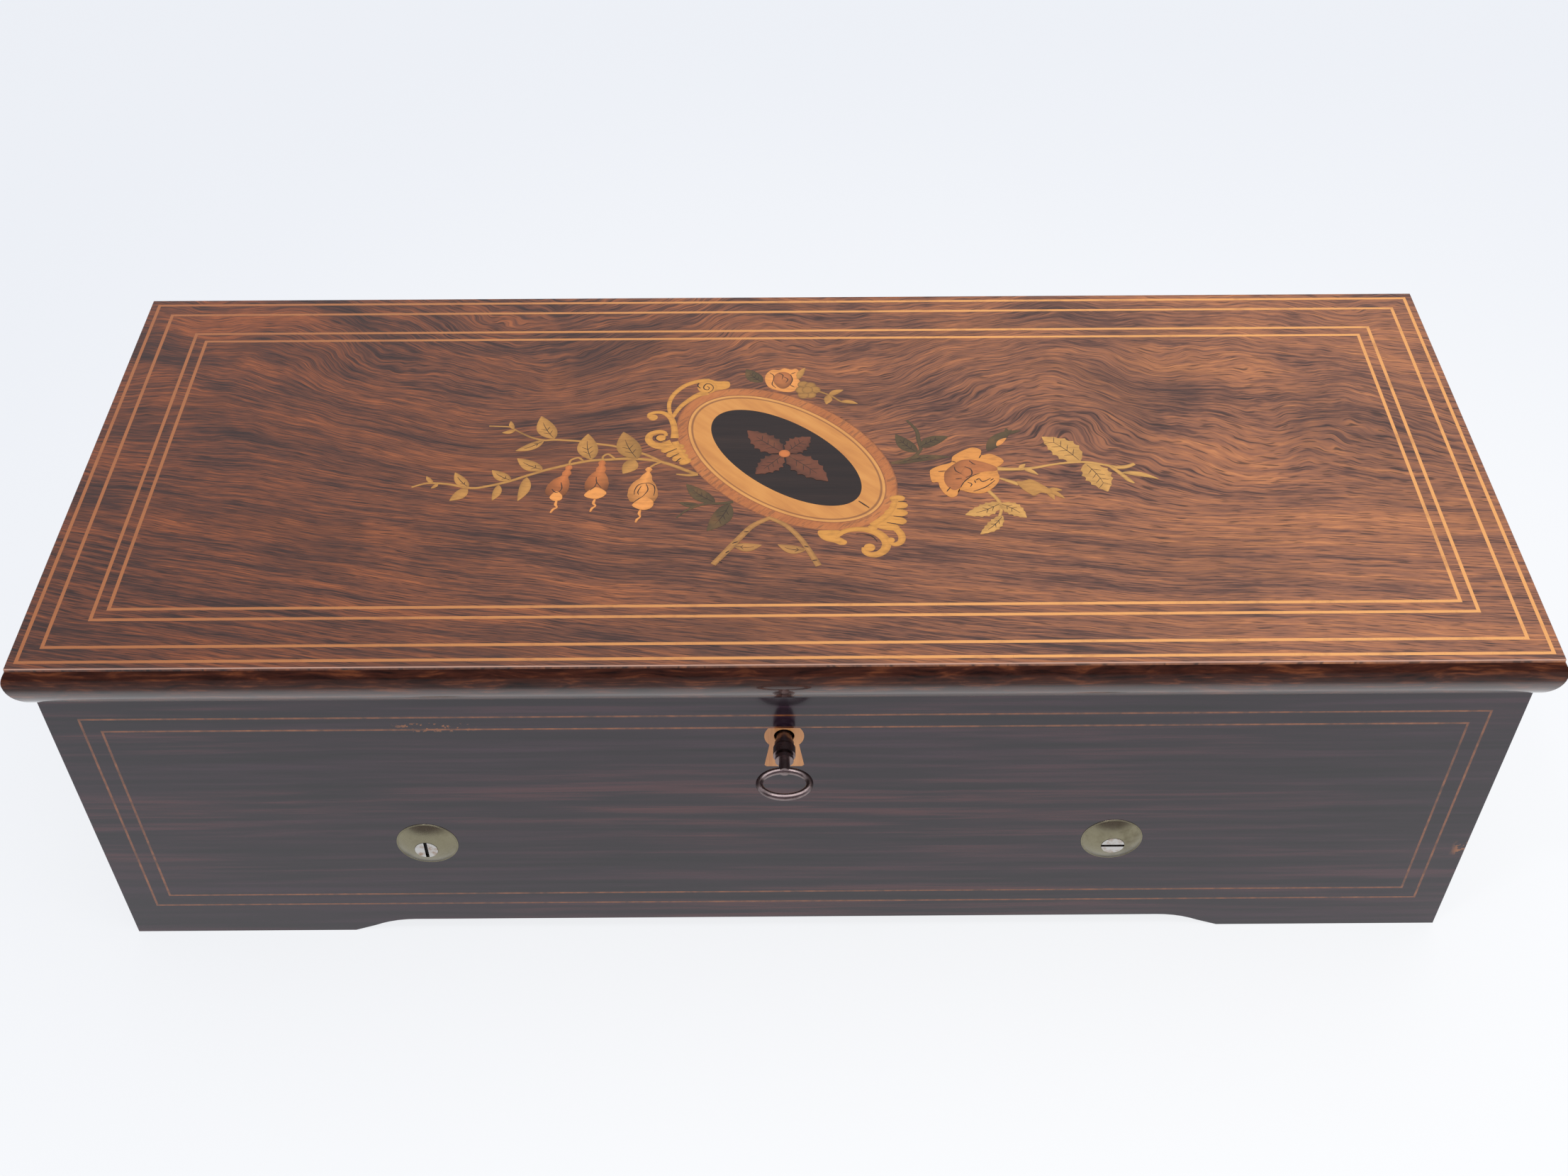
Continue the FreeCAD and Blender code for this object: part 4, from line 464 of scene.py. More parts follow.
PIN_RADIUS, PIN_PROUD, PIN_ROOT = 0.00026, 0.0009, 0.0004
TEETH, TUNES, NOTES, MORE_NOTES, TUNE_STEP = 60, 8, 4, 2, 0.0004
TUNE_START, BEATS, BEAT_DEGREES = 24, 164, 2
shell_low, shell_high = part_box("cylinder_shell")
axis_y, axis_z = (shell_low.y + shell_high.y) / 2, (shell_low.z + shell_high.z) / 2
pin_middle = (shell_high.y - shell_low.y) / 2 + (PIN_PROUD - PIN_ROOT) / 2
comb_low, comb_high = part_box("comb")
tooth_pitch = (comb_high.x - comb_low.x) / TEETH
draw = random.Random(41)
places, directions = [], []
for tooth in range(TEETH):
    for tune in range(TUNES):
        row = comb_low.x + (tooth + 0.5) * tooth_pitch - tune * TUNE_STEP
        for note in range(NOTES + draw.randint(0, MORE_NOTES)):
            turn = math.radians(TUNE_START + draw.randint(0, BEATS) * BEAT_DEGREES)
            out = Vector((0, math.cos(turn), math.sin(turn)))
            places.append(Vector((row, axis_y, axis_z)) + out * pin_middle)
            directions.append(out)
filed_steel = metal("filed_pins", (112, 106, 98), (58, 50, 42), (0.34, 0.5), patch=160.0)
pins = baked("cylinder_pins", points_mesh("cylinder_pins", places, directions),
             *set_on_points("steel_pins", {"Radius": PIN_RADIUS, "Height": PIN_PROUD + PIN_ROOT},
                            pin, filed_steel))
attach(pins, "cylinder")


# Going train: the spring barrel drives the great wheel on the cylinder, which drives the governor.
# Wheels are cut in sheet brass; the endless screw and fly at the end hold the speed.

wheel_brass = metal("cut_wheel_brass", (220, 182, 108), (178, 136, 70), (0.22, 0.36), patch=80.0)
dress(wheel_brass, "great_wheel", "tune_snail", "first_governor_wheel", "second_governor_wheel",
      "spring_barrel", "barrel_cover", "ratchet_wheel", "fly")
dress(arbor_steel, "endless_screw")
spring_steel = metal("blued_spring", (92, 98, 122), (58, 58, 70), (0.24, 0.4), patch=100.0)
dress(spring_steel, "mainspring", "click", "drive_pawl")


# Levers: a winding lever with a turned rosewood handle at the left, start and change levers
# at the right. They are filed from steel bar and polished.

lever_steel = metal("filed_lever_steel", (200, 198, 194), (150, 146, 140), (0.2, 0.34), ALONG_Y)
dress(lever_steel, "winding_lever", "start_lever", "change_lever")
turned_wood = wood("turned_rosewood", [(0.3, 52, 26, 18), (0.55, 92, 48, 30), (0.8, 120, 68, 40)],
                   streak=200.0, gloss=(0.16, 0.28))
dress(turned_wood, "lever_handle")


# Lock and key: a brass lock case let into the front, and an iron key with an oval bow.
# The key is dark with age and polished by the hand.

lock_brass = metal("lock_plate_brass", (208, 170, 98), (160, 120, 62), (0.28, 0.42), ALONG_X)
dress(lock_brass, "lock_case")
key_steel = metal("dark_key_steel", (142, 127, 126), (94, 81, 80), (0.2, 0.34), patch=200.0)
dress(key_steel, "key")


# Small screws: slotted steel screws hold the hinge leaves, the lock, its link plate
# and the governor's frame. Their low domed heads stand a little proud.

def round_head(tree, sizes, segments=16):
    """A low domed head, as a ball pressed flat."""
    ball = lay(tree, "GeometryNodeMeshUVSphere", Segments=segments, Rings=10,
               Radius=sizes["Radius"])
    flat = lay(tree, "ShaderNodeCombineXYZ", X=1.0, Y=1.0, Z=sizes["Dome"])
    return lay(tree, "GeometryNodeTransform", Geometry=output_of(ball), Scale=output_of(flat))


SAW_LONG = 0.02


def slotted_head(tree, sizes):
    """A domed head with a sawn slot."""
    dome = round_head(tree, sizes, 18)
    saw = lay(tree, "ShaderNodeCombineXYZ", X=SAW_LONG, Y=sizes["Slot"], Z=SAW_LONG)
    cut = lay(tree, "GeometryNodeMeshCube", Size=output_of(saw))
    return lay(tree, "GeometryNodeMeshBoolean", {"operation": "DIFFERENCE"},
               Mesh_1=output_of(dome), Mesh_2=output_of(cut))


HINGE_X, SCREW_PITCH, LEAF_Y = (-0.15, 0.15), (-0.019, 0, 0.019), 0.1012
LEAF_TOP, LID_UNDER, LOCK_Y = 0.1296, 0.13, -0.06985
LOCK_SCREWS_X, LINK_SCREWS_X = (-0.021, 0.02), (-0.0192, 0.0182)
FRAME_SCREWS_X, FRAME_SCREWS_Y = (0.125, 0.151), (0.0402, 0.0724)
PLATE_SCREW, PLATE_DOME, FRAME_SCREW, FRAME_DOME = 0.0018, 0.09, 0.0016, 0.5
SLOT_WIDE = 0.0004
lock_top, frame_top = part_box("lock_case")[1].z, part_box("governor_frame")[1].z
leaf_x = [x + step for x in HINGE_X for step in SCREW_PITCH]
on_case = [(x, LEAF_Y, LEAF_TOP) for x in leaf_x]
on_case += [(x, LOCK_Y, lock_top) for x in LOCK_SCREWS_X]
on_frame = [(x, y, frame_top) for x in FRAME_SCREWS_X for y in FRAME_SCREWS_Y]
under_lid = [(x, LEAF_Y, LID_UNDER) for x in leaf_x]
under_lid += [(x, LOCK_Y, LID_UNDER) for x in LINK_SCREWS_X]
for name, places, way, body, radius, dome in (
        ("case_plate_screws", on_case, 1, "case", PLATE_SCREW, PLATE_DOME),
        ("governor_frame_screws", on_frame, 1, "case", FRAME_SCREW, FRAME_DOME),
        ("lid_plate_screws", under_lid, -1, "lid", PLATE_SCREW, PLATE_DOME)):
    sizes = {"Radius": radius, "Dome": dome, "Slot": SLOT_WIDE}
    tree = set_on_points("slotted_heads", sizes, slotted_head, screw_steel)
    screws = baked(name, points_mesh(name, places, [(0, 0, way)] * len(places)), *tree)
    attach(screws, body)


# Glass lid: a thin ebonised frame holds one pane over the movement, on two brass pivots.
# The glass has a faint green cast and a little dust; the hinges are of the pivots' brass.

frame_wood = wood("ebonised_frame", [(0.3, *BLACK), (0.6, *SLATE), (0.8, 58, 40, 36)],
                  gloss=(0.2, 0.34))
dress(frame_wood, "glass_frame")
hinge_brass = metal("hinge_brass", (212, 172, 96), (158, 118, 60), (0.26, 0.42), ALONG_X,
                    patch=70.0)
dress(hinge_brass, "case_hinge_leaves", "lid_hinge_leaves", "link_plate", "glass_pivots")
sheet_glass = begin("sheet_glass")
here = spot()
dust = cloud(here, 50.0, 4.0, 0.6)
colour = mixed(dust, stain(240, 248, 244), stain(228, 240, 234))
close({"Base_Color": colour, "Roughness": dust * 0.05 + 0.01, "Transmission_Weight": 1.0,
       "IOR": 1.5}, cloud(here, 18.0, 1.0), 0.0001, 0.06)
dress(sheet_glass, "glass_pane")


# Lid: a softwood board with a rosewood sheet over it, one leaf across the whole top.
# The grain runs from end to end, straight near the front and cloudy towards the back.

lid_inside = wood("stained_lid_inside",
                  [(0.3, 72, 42, 28), (0.55, 104, 66, 42), (0.8, 130, 86, 56)],
                  streak=110.0, gloss=(0.4, 0.55))
dress(lid_inside, "lid_board")


def away(where, x, y):
    """How far a place lies from one point, seen from above."""
    return Tone.node("ShaderNodeVectorMath", "Value", {"operation": "DISTANCE"},
                     Vector=stretched(where, (1, 1, 0)), Vector_001=(x, y, 0))


CROWN, SWIRL = (-0.105, 0.07), (0.095, 0.055)
NOSE_Y, NOSE_Z = (-0.08765, -0.08795), (0.147, 0.1473)
veneer = begin("rosewood_veneer")
here = spot()
side, depth = axis_of(here, "X"), axis_of(here, "Y")
cloudy = depth.over(-0.04, 0.07)
bow = cloud(here, 7.0, 2.0, 0.45) - 0.5
ripple = cloud(here, 26.0, 3.0, 0.5) - 0.5
sag = side * (depth.over(0.05, -0.02) * 0.1 + 0.05) - side * side * 0.2
crown = away(here, *CROWN).over(0.1, 0.0) * 0.045
swirl = away(here, *SWIRL).over(0.09, 0.0) * 0.024
lift = sag + crown - swirl
lift = lift + bow * (cloudy * 0.045 + 0.012) + ripple * (cloudy * 0.016 + 0.004)
course = Tone.node("ShaderNodeCombineXYZ", X=side, Y=depth + lift)
bands = cloud(stretched(course, (0.16, 1, 1)), 46.0, 3.0, 0.5)
blotch = cloud(stretched(course, (0.45, 1, 1)), 46.0, 5.0, 0.6, 0.5)
streaks = cloud(stretched(course, (0.045, 1, 1)), 170.0, 4.0, 0.58)
threads = cloud(stretched(course, (0.035, 1, 1)), 700.0, 3.0, 0.58)
hairs = cloud(stretched(course, (0.055, 1, 1)), 1900.0, 2.0, 0.6)
pores = cloud(stretched(course, (0.05, 1, 1)), 2300.0, 1.0)
patch = cloud(stretched(here, (0.7, 1, 1)), 12.0, 3.0)
soft = bands * 0.16 + blotch * (cloudy * 0.18 + 0.1) + streaks * (0.24 - cloudy * 0.18)
figure = (soft + threads * 0.26 + hairs * 0.24 - 0.5) * 4.2 + 0.555
inky = cloud(stretched(course, (0.4, 1, 1), (0.37, 0.1, 0)), 34.0, 4.0, 0.6)
shaded_end = dyed(figure, [(0.1, 36, 23, 22), (0.34, 66, 39, 32), (0.52, 96, 54, 38),
                         (0.72, 122, 66, 40), (0.95, 154, 84, 46)])
lit_end = dyed(figure, [(0.1, 60, 39, 34), (0.34, 100, 63, 50), (0.52, 138, 88, 64),
                          (0.72, 160, 101, 67), (0.95, 188, 121, 76)])
# Painted light: a shaded copy of the rosewood at the left end blends into a lit copy at the right,
# as the lamp's light falls.
colour = mixed(side.over(-0.23, 0.19), shaded_end, lit_end)
INK = stain(48, 30, 28)
colour = mixed(inky.over(0.48, 0.68) * (0.4 - side * 0.7), colour, INK)
# The front border is also darker towards the left.
colour = mixed(depth.over(-0.05, -0.085) * side.over(0.14, 0.0) * 0.16, colour, INK)
colour = mixed(pores.over(0.56, 0.66) * 0.7, colour, stain(36, 20, 17))
# Painted highlight: a thin pale line along the rounded front arris of the veneer, where it catches
# the light.
arris_highlight = depth.over(*NOSE_Y) * axis_of(here, "Z").over(*NOSE_Z)
colour = mixed(arris_highlight * 0.7, colour, stain(214, 170, 150))
close({"Base_Color": colour, "Roughness": patch * 0.14 + 0.26, "Specular_IOR_Level": 0.32},
      pores, 0.00004, 0.25)
dress(veneer, "lid_veneer")


# Lid moulding: solid rosewood strips with a rounded nose, mitred at the front corners and glued on.
# They are the darkest part of the lid, and glossy below, where hands haven't worn the polish.

POLISH_WORN, POLISH_KEPT = 0.1405, 0.1375
for name, run, fine_run, lean in (
        ("lid_moulding_front", (0.2, 1, 1), (0.05, 1, 1), (0, 0.25, 0)),
        ("lid_side_mouldings", (1, 0.2, 1), (1, 0.05, 1), (0.25, 0, 0))):
    moulding = begin("rosewood_" + name)
    here = spot()
    lines = wander(here, 30.0, (0.012, 0.012, 0.006))
    figure = cloud(stretched(lines, run, turn=lean), 300.0, 4.0, 0.6)
    threads = cloud(stretched(lines, fine_run), 900.0, 2.0, 0.5)
    colour = dyed(figure * 0.6 + threads * 0.4,
                  [(0.34, 30, 15, 13), (0.52, 66, 33, 23), (0.7, 124, 68, 40)])
    kept = axis_of(here, "Z").over(POLISH_WORN, POLISH_KEPT)
    close({"Base_Color": colour, "Roughness": figure * 0.12 + 0.16, "Specular_IOR_Level": 0.12,
           "Coat_Weight": kept * 0.9 + 0.05, "Coat_Roughness": 0.07}, threads, 0.00004, 0.15)
    dress(moulding, name)


# Lid stringing: four boxwood lines let into the veneer, mitred at the corners.
# Age and polish have turned them orange; painted light makes them a little lighter towards the
# right.

lid_line = begin("boxwood_stringing")
here = spot()
along = cloud(here, 90.0, 4.0, 0.65)
speck = cloud(here, 900.0, 2.0)
# Painted light: the lines run from a shaded colour at the left to a lit colour at the right.
colour = mixed(axis_of(here, "X").over(-0.26, 0.12), stain(156, 92, 48), stain(222, 154, 84))
colour = mixed(along.over(0.5, 0.72) * 0.35, colour, stain(136, 76, 40))
close({"Base_Color": colour, "Roughness": speck * 0.1 + 0.24}, speck, 0.00003, 0.25)
dress(lid_line, "lid_stringing")


# Medallion: an oval of ebony set aslant in the lid, in a ring of satinwood and a crossbanded
# outer ring. A dark line and a pale string run inside the satinwood ring's outer edge.

OVAL_X, OVAL_Y, OVAL_TILT = 0.0005, 0.01125, math.radians(-44.3)
OVAL_LONG, OVAL_SHORT = 0.046, 0.0292
DARK_LINE_IN, PALE_LINE_IN, OUTER_RING_WIDE = 0.0059, 0.0052, 0.0044


def oval_place():
    """Object coordinates about the oval's middle, with x along its length."""
    here = spot()
    moved = stretched(here, (1, 1, 1), (-OVAL_X, -OVAL_Y, 0))
    return stretched(moved, (1, 1, 1), turn=(0, 0, -OVAL_TILT))


def reach(where, inset):
    """1 on the oval that lies this far inside the outer one, less inside it."""
    scaled = stretched(where, (1 / (OVAL_LONG - inset), 1 / (OVAL_SHORT - inset), 0))
    return Tone.node("ShaderNodeVectorMath", "Value", {"operation": "LENGTH"}, Vector=scaled)


satinwood = begin("satinwood_ring")
where = oval_place()
silk = cloud(stretched(where, (0.12, 1, 1)), 240.0, 4.0, 0.6)
glow = cloud(where, 45.0, 3.0)
colour = dyed(silk * 0.6 + glow * 0.4,
              [(0.3, 176, 110, 50), (0.52, 200, 134, 64), (0.75, 214, 152, 80)])
dark_line = reach(where, DARK_LINE_IN).within(0.985, 0.998, 1.006, 1.02)
pale_line = reach(where, PALE_LINE_IN).within(0.99, 1.0, 1.018, 1.03)
colour = mixed(dark_line * 0.7, colour, stain(104, 58, 30))
colour = mixed(pale_line * 0.25, colour, stain(226, 170, 96))
close({"Base_Color": colour, "Roughness": glow * 0.1 + 0.24}, silk, 0.00003, 0.2)
dress(satinwood, "medallion_inner_ring")

crossband = begin("crossbanded_ring")
where = oval_place()
ticks = cloud(stretched(where, (1, 0.16, 1), turn=(0, 0, 0.5)), 900.0, 3.0, 0.6)
glow = cloud(where, 60.0, 3.0)
colour = dyed(ticks * 0.55 + glow * 0.45,
              [(0.3, 126, 66, 32), (0.5, 176, 102, 48), (0.75, 198, 126, 64)])
rim = reach(where, 0.0).over(0.975, 1.0).top(reach(where, OUTER_RING_WIDE).over(1.02, 1.0))
colour = mixed((rim * 0.6).top(ticks.over(0.52, 0.64) * 0.55), colour, stain(88, 46, 26))
close({"Base_Color": colour, "Roughness": glow * 0.1 + 0.25}, ticks, 0.00003, 0.2)
dress(crossband, "medallion_outer_ring")

ebony = wood("ebony_field", [(0.3, 26, 15, 13), (0.6, 40, 26, 22), (0.85, 58, 40, 32)],
             streak=260.0, gloss=(0.24, 0.34), Specular_IOR_Level=0.3)
dress(ebony, "medallion_field")


# Marquetry: leaves, flowers and scrolls sawn from coloured veneers and glued flush into the lid.
# Edges are shaded in hot sand, and fine lines are cut in and filled with black.

inlay_finish = begin("inlaid_veneers")
here = spot()
fleck = cloud(stretched(here, (0.25, 1, 1)), 900.0, 3.0, 0.6)
blush = cloud(here, 120.0, 3.0)
tint = Tone.node("ShaderNodeAttribute", "Color", {"attribute_name": "wood"})
colour = mixed(fleck.over(0.42, 0.75) * 0.3, tint, stain(70, 40, 22))
colour = mixed(blush.over(0.5, 0.75) * 0.12, colour, stain(206, 136, 70))
close({"Base_Color": colour, "Roughness": blush * 0.1 + 0.28, "Specular_IOR_Level": 0.36},
      fleck, 0.00003, 0.2)

LID_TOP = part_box("lid_veneer")[1].z
MM = 0.001
OLIVE, GREEN, DARK_GREEN = stain(186, 132, 66), stain(166, 118, 58), stain(84, 66, 38)
LIGHT_OLIVE, TWIG, SCROLL = stain(206, 153, 82), stain(176, 124, 66), stain(206, 142, 64)
ORANGE, LIGHT_ORANGE, PETAL = stain(196, 112, 56), stain(226, 148, 76), stain(216, 142, 68)
ROSE_BROWN, FLOWER_BROWN, CUT_LINE = stain(178, 106, 58), stain(108, 58, 36), stain(40, 22, 14)


def smooth(points, steps=5, closed=False):
    """A curve through the points, as a fretsaw follows a drawn line."""
    line = [Vector(p) for p in points]
    count = len(line)
    spans = count if closed else count - 1
    made = []
    for i in range(spans):
        before, start, end, after = (
            line[(i + k) % count] if closed else line[min(max(i + k, 0), count - 1)]
            for k in (-1, 0, 1, 2))
        for step in range(steps):
            t = step / steps
            made.append(0.5 * (2 * start + (end - before) * t
                               + (2 * before - 5 * start + 4 * end - after) * t * t
                               + (3 * start - before - 3 * end + after) * t ** 3))
    if not closed:
        made.append(line[-1])
    return made


def leftwards(line, i):
    """The direction to the left of a line at its point i."""
    run = line[min(i + 1, len(line) - 1)] - line[max(i - 1, 0)]
    return Vector((-run.y, run.x)).normalized()


def between(values, share):
    """The value this share of the way along a short list."""
    at = share * (len(values) - 1)
    low = min(int(at), len(values) - 2)
    return values[low] + (values[low + 1] - values[low]) * (at - low)


class Inlay:
    """Veneer pieces cut to shape and gathered into one mesh; each lies a hair above the last."""

    DEEP, FIRST, HAIR, LEAN = 0.3, 0.012, 0.0008, 0.45
    EIGHTHS = [k * math.pi / 4 for k in range(8)]

    def __init__(self):
        self.points, self.faces, self.woods, self.count = [], [], [], 0

    def cut(self, flat, wood_colour, shades, top_faces, rim):
        first, many = len(self.points), len(flat)
        top = LID_TOP + (self.FIRST + self.HAIR * self.count) * MM
        self.count += 1
        for deep in (0.0, self.DEEP * MM):
            for place, shade in zip(flat, shades):
                self.points.append((place.x * MM, place.y * MM, top - deep))
                self.woods.append(tuple(c * shade for c in wood_colour[:3]) + (1.0,))
        for face in top_faces:
            self.faces.append([first + i for i in face])
            self.faces.append([first + many + i for i in reversed(face)])
        for a, b in zip(rim, rim[1:] + rim[:1]):
            self.faces.append((first + a, first + a + many, first + b + many, first + b))

    def strip(self, rows, wood_colour, shades):
        """A piece given as rows of points from side to side."""
        wide, tall = len(rows[0]), len(rows)
        cells = [(i * wide + j, i * wide + j + 1, (i + 1) * wide + j + 1, (i + 1) * wide + j)
                 for i in range(tall - 1) for j in range(wide - 1)]
        last = (tall - 1) * wide
        rim = list(range(wide)) + [i * wide + wide - 1 for i in range(1, tall)]
        rim += [last + j for j in range(wide - 2, -1, -1)]
        rim += [i * wide for i in range(tall - 2, 0, -1)]
        self.cut([p for row in rows for p in row], wood_colour, shades, cells, rim)

    def ribbon(self, points, widths, wood_colour, edge=0.72, steps=5, fade=(1.0, 1.0)):
        """A band of changing width along a curve, lighter down its middle, fading as it goes."""
        line = smooth(points, steps)
        rows, shades = [], []
        for i, place in enumerate(line):
            share = i / (len(line) - 1)
            side = leftwards(line, i) * between(widths, share) / 2
            rows.append([place - side, place, place + side])
            tone = between(fade, share)
            shades += [edge * tone, tone, edge * 0.9 * tone]
        self.strip(rows, wood_colour, shades)

    def score(self, points, width=0.35, steps=4):
        """A fine cut filled with black."""
        self.ribbon(points, (width * 0.6, width, width * 0.5), CUT_LINE, 1.0, steps)

    def scores(self, lines, width):
        for line in lines:
            self.score(line, width)

    def petal(self, outline, wood_colour, edge=0.7, heart=None, dark_side=None):
        """A rounded piece given by its outline, shaded at the rim and more on its dark side."""
        rim = smooth(outline, 4, True)
        heart = Vector(heart) if heart else sum(rim, Vector((0, 0))) / len(rim)
        many, rings = len(rim), (1.0, 0.86, 0.55)
        flat = [heart + (p - heart) * ring for ring in rings for p in rim] + [heart]
        dark = Vector(dark_side).normalized() if dark_side else Vector((0, 0))
        leans = [max(0.0, (p - heart).normalized().dot(dark)) * self.LEAN for p in rim]
        tones = zip(rings, (edge, (edge + 1) / 2, 1.0))
        shades = [tone * (1 - lean * ring) for ring, tone in tones for lean in leans] + [1.0]
        faces = []
        for ring in range(len(rings) - 1):
            near, far = ring * many, (ring + 1) * many
            for i in range(many):
                j = (i + 1) % many
                faces.append((near + i, near + j, far + j, far + i))
        inner = (len(rings) - 1) * many
        faces += [(inner + i, inner + (i + 1) % many, len(flat) - 1) for i in range(many)]
        self.cut(flat, wood_colour, shades, faces, list(range(many)))

    def round(self, x, y, radius, wood_colour, edge=0.86):
        self.petal([(x + radius * math.cos(a), y + radius * math.sin(a)) for a in self.EIGHTHS],
                   wood_colour, edge)

    def lobe(self, root, tip, width, wood_colour, edge=0.8):
        """A long round-ended piece, as in a shell edge."""
        root, tip = Vector(root), Vector(tip)
        run = (tip - root) / 2
        side = Vector((-run.y, run.x)).normalized() * width / 2
        self.petal([root + run + run * math.cos(a) + side * math.sin(a) for a in self.EIGHTHS],
                   wood_colour, edge)

    def leaf(self, base, tip, width, wood_colour, bend=0.06, teeth=0.0, veins=3, dark=0.66):
        """A pointed leaf with one half shaded, a cut midrib, and side veins."""
        base, tip = Vector(base), Vector(tip)
        run = tip - base
        side = Vector((-run.y, run.x)).normalized()
        tall = 18
        rib = [base + run * (i / tall) + side * bend * run.length * math.sin(math.pi * i / tall)
               for i in range(tall + 1)]
        rows, shades = [], []
        for i, place in enumerate(rib):
            t = i / tall
            half = width / 2 * math.sin(math.pi * min(t ** 0.82, 0.995)) ** 0.85 + 0.06
            jag = 1 + teeth * (1 if i % 3 == 0 else -0.4) if 2 < i < tall - 1 else 1
            rows.append([place + side * half * o for o in (-jag, -0.55, 0, 0.55, jag)])
            root = 0.82 + 0.18 * min(1, t * 3)
            shades += [s * root for s in (dark, 0.84, 0.94, 1.0, 0.86)]
        self.strip(rows, wood_colour, shades)
        if veins:
            self.score(rib[1:tall - 4], 0.3, 1)
        for k in range(veins if width > 3 else 0):
            i = 4 + k * 3
            for way in (-1, 1):
                far = rib[i + 2] + side * way * width * 0.26
                self.score([rib[i], (rib[i] + far) / 2 + run.normalized() * 0.12, far], 0.24, 2)

    def leaves(self, rows, wood_colour, **how):
        """Leaves of one wood, each given by its base, its tip and its width."""
        for x0, y0, x1, y1, wide in rows:
            self.leaf((x0, y0), (x1, y1), wide, wood_colour, **how)

    def set_in_lid(self, name):
        """Makes one mesh of the pieces cut so far, glued into the lid."""
        mesh = bpy.data.meshes.new(name)
        mesh.from_pydata(self.points, [], self.faces)
        paint = mesh.color_attributes.new("wood", "FLOAT_COLOR", "POINT")
        paint.data.foreach_set("color", [c for wood_colour in self.woods for c in wood_colour])
        work = bmesh.new()
        work.from_mesh(mesh)
        bmesh.ops.recalc_face_normals(work, faces=work.faces)
        work.to_mesh(mesh)
        work.free()
        mesh.materials.append(inlay_finish)
        made = stand(name, mesh)
        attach(made, "lid")


# Left spray: two thin stems leave the medallion with olive leaves and three hanging bells.
# Each bell has a beaded tube, shaded sepals, a light skirt and a thread of stamens.

left = Inlay()
left.ribbon([(-30.2, 1.9), (-42.7, 8.7), (-53.4, 10.5), (-61.3, 10.1), (-67.7, 9.6), (-74.9, 7.6),
             (-82, 5.1), (-89.1, 1.9), (-95.6, -1.3), (-102, -3.4), (-107.7, -4.5), (-115.6, -2.4),
             (-120.6, -1.8), (-124.1, -2), (-128.4, -3.8)], (1.5, 1.3, 1.2, 1.1, 0.8), OLIVE)
left.ribbon([(-42.7, 8.7), (-49.1, 13), (-59.1, 17.1), (-65.6, 18.6), (-72, 20.1), (-80.6, 21),
             (-84.9, 20.8), (-89.1, 22.2), (-92.7, 24.4), (-95.6, 26.6), (-97.7, 28.2),
             (-101.3, 28.6), (-105.2, 28.8)], (1.2, 1.0, 1.0, 0.7, 0.6), OLIVE,
            fade=(1, 1, 1, 1, 0.55, 1, 1.1))
left.ribbon([(-29.8, 2.0), (-33, 1.6), (-37.4, 2.2)], (1.4, 1.3, 0.5), OLIVE)
for hook in (
        [(-70.2, 9.4), (-72, 11.2), (-74.6, 9.8), (-74.8, 7.2)],
        [(-59.1, 10.4), (-61.6, 13), (-63.4, 11.6), (-63.1, 9.4)],
        [(-42.7, 8.7), (-45.2, 7.2), (-46.8, 5.6)]):
    left.ribbon(hook, (0.9, 0.9, 0.8), OLIVE)
for x0, y0, x1, y1, wide, kind, veins in (
        (-81.3, 21.6, -87, 34.1, 6.6, OLIVE, 2), (-84.9, 20.6, -94.4, 15.1, 3.6, OLIVE, 1),
        (-67.4, 10.2, -69.5, 24.1, 7.2, OLIVE, 2), (-51.3, 10.4, -57, 25, 8.2, GREEN, 2),
        (-52.4, 10.2, -55.9, 2.6, 5.4, OLIVE, 0), (-84, 4.8, -93.4, 11, 5.0, OLIVE, 1),
        (-94.5, -0.6, -101.6, 4.8, 4.2, OLIVE, 1), (-108.8, -4, -114.3, 3.7, 3.8, OLIVE, 1),
        (-109.1, -4.4, -114.4, -10.9, 4.2, OLIVE, 0), (-98.4, -3, -99.9, -10.9, 2.9, OLIVE, 0),
        (-89.1, 1, -91.1, -11.2, 3.8, OLIVE, 0), (-121.3, -1.7, -124, 1.9, 1.6, OLIVE, 0),
        (-119.5, -2, -121.6, -4.5, 1.4, OLIVE, 0), (-96.3, 27, -97.7, 31.4, 1.8, OLIVE, 0),
        (-95.6, 26.4, -100.2, 25, 1.9, OLIVE, 0)):
    left.leaf((x0, y0), (x1, y1), wide, kind, veins=veins)


def bell(tube, sepals, fade, skirt, thread, body_colour, lines):
    """One hanging flower: each part is given by its middle line and widths, or by its outline."""
    left.ribbon(thread, (0.7, 1.1, 0.5, 0.9, 0.6), LIGHT_ORANGE, 0.85)
    left.ribbon([p[:2] for p in sepals], [p[2] for p in sepals], body_colour, 0.62, 4, fade)
    left.ribbon([p[:2] for p in tube], [p[2] for p in tube], body_colour, 0.8, 4)
    left.petal(skirt, LIGHT_ORANGE, 0.88)
    left.scores(lines, 0.4)


bell([(-74.6, 7.1, 1.4), (-74.9, 5.9, 2.6), (-75.2, 4.7, 1.7), (-75.4, 3.1, 3.3), (-75.9, 1.5, 2.4),
      (-76.3, 0.2, 3.6)],
     [(-76, 1, 2.6), (-76.9, -1.4, 6.2), (-77.9, -4.4, 7.8), (-78.6, -7.2, 7.4), (-79, -8.8, 5.2)],
     (1, 0.95, 0.72, 0.5, 0.42),
     [(-80.2, -8.9), (-78.3, -6.4), (-76.2, -8.4), (-76.2, -10.6), (-78.3, -11.4), (-80, -10.3)],
     [(-77.8, -11.4), (-78, -13.2), (-77.4, -14.6), (-78.6, -15.6), (-79.4, -17.3)],
     ORANGE,
     [[(-77, -1.8), (-76.5, -4.8), (-77.3, -6.8)], [(-79.9, -5.2), (-78.9, -6.7), (-77.6, -7.1)]])
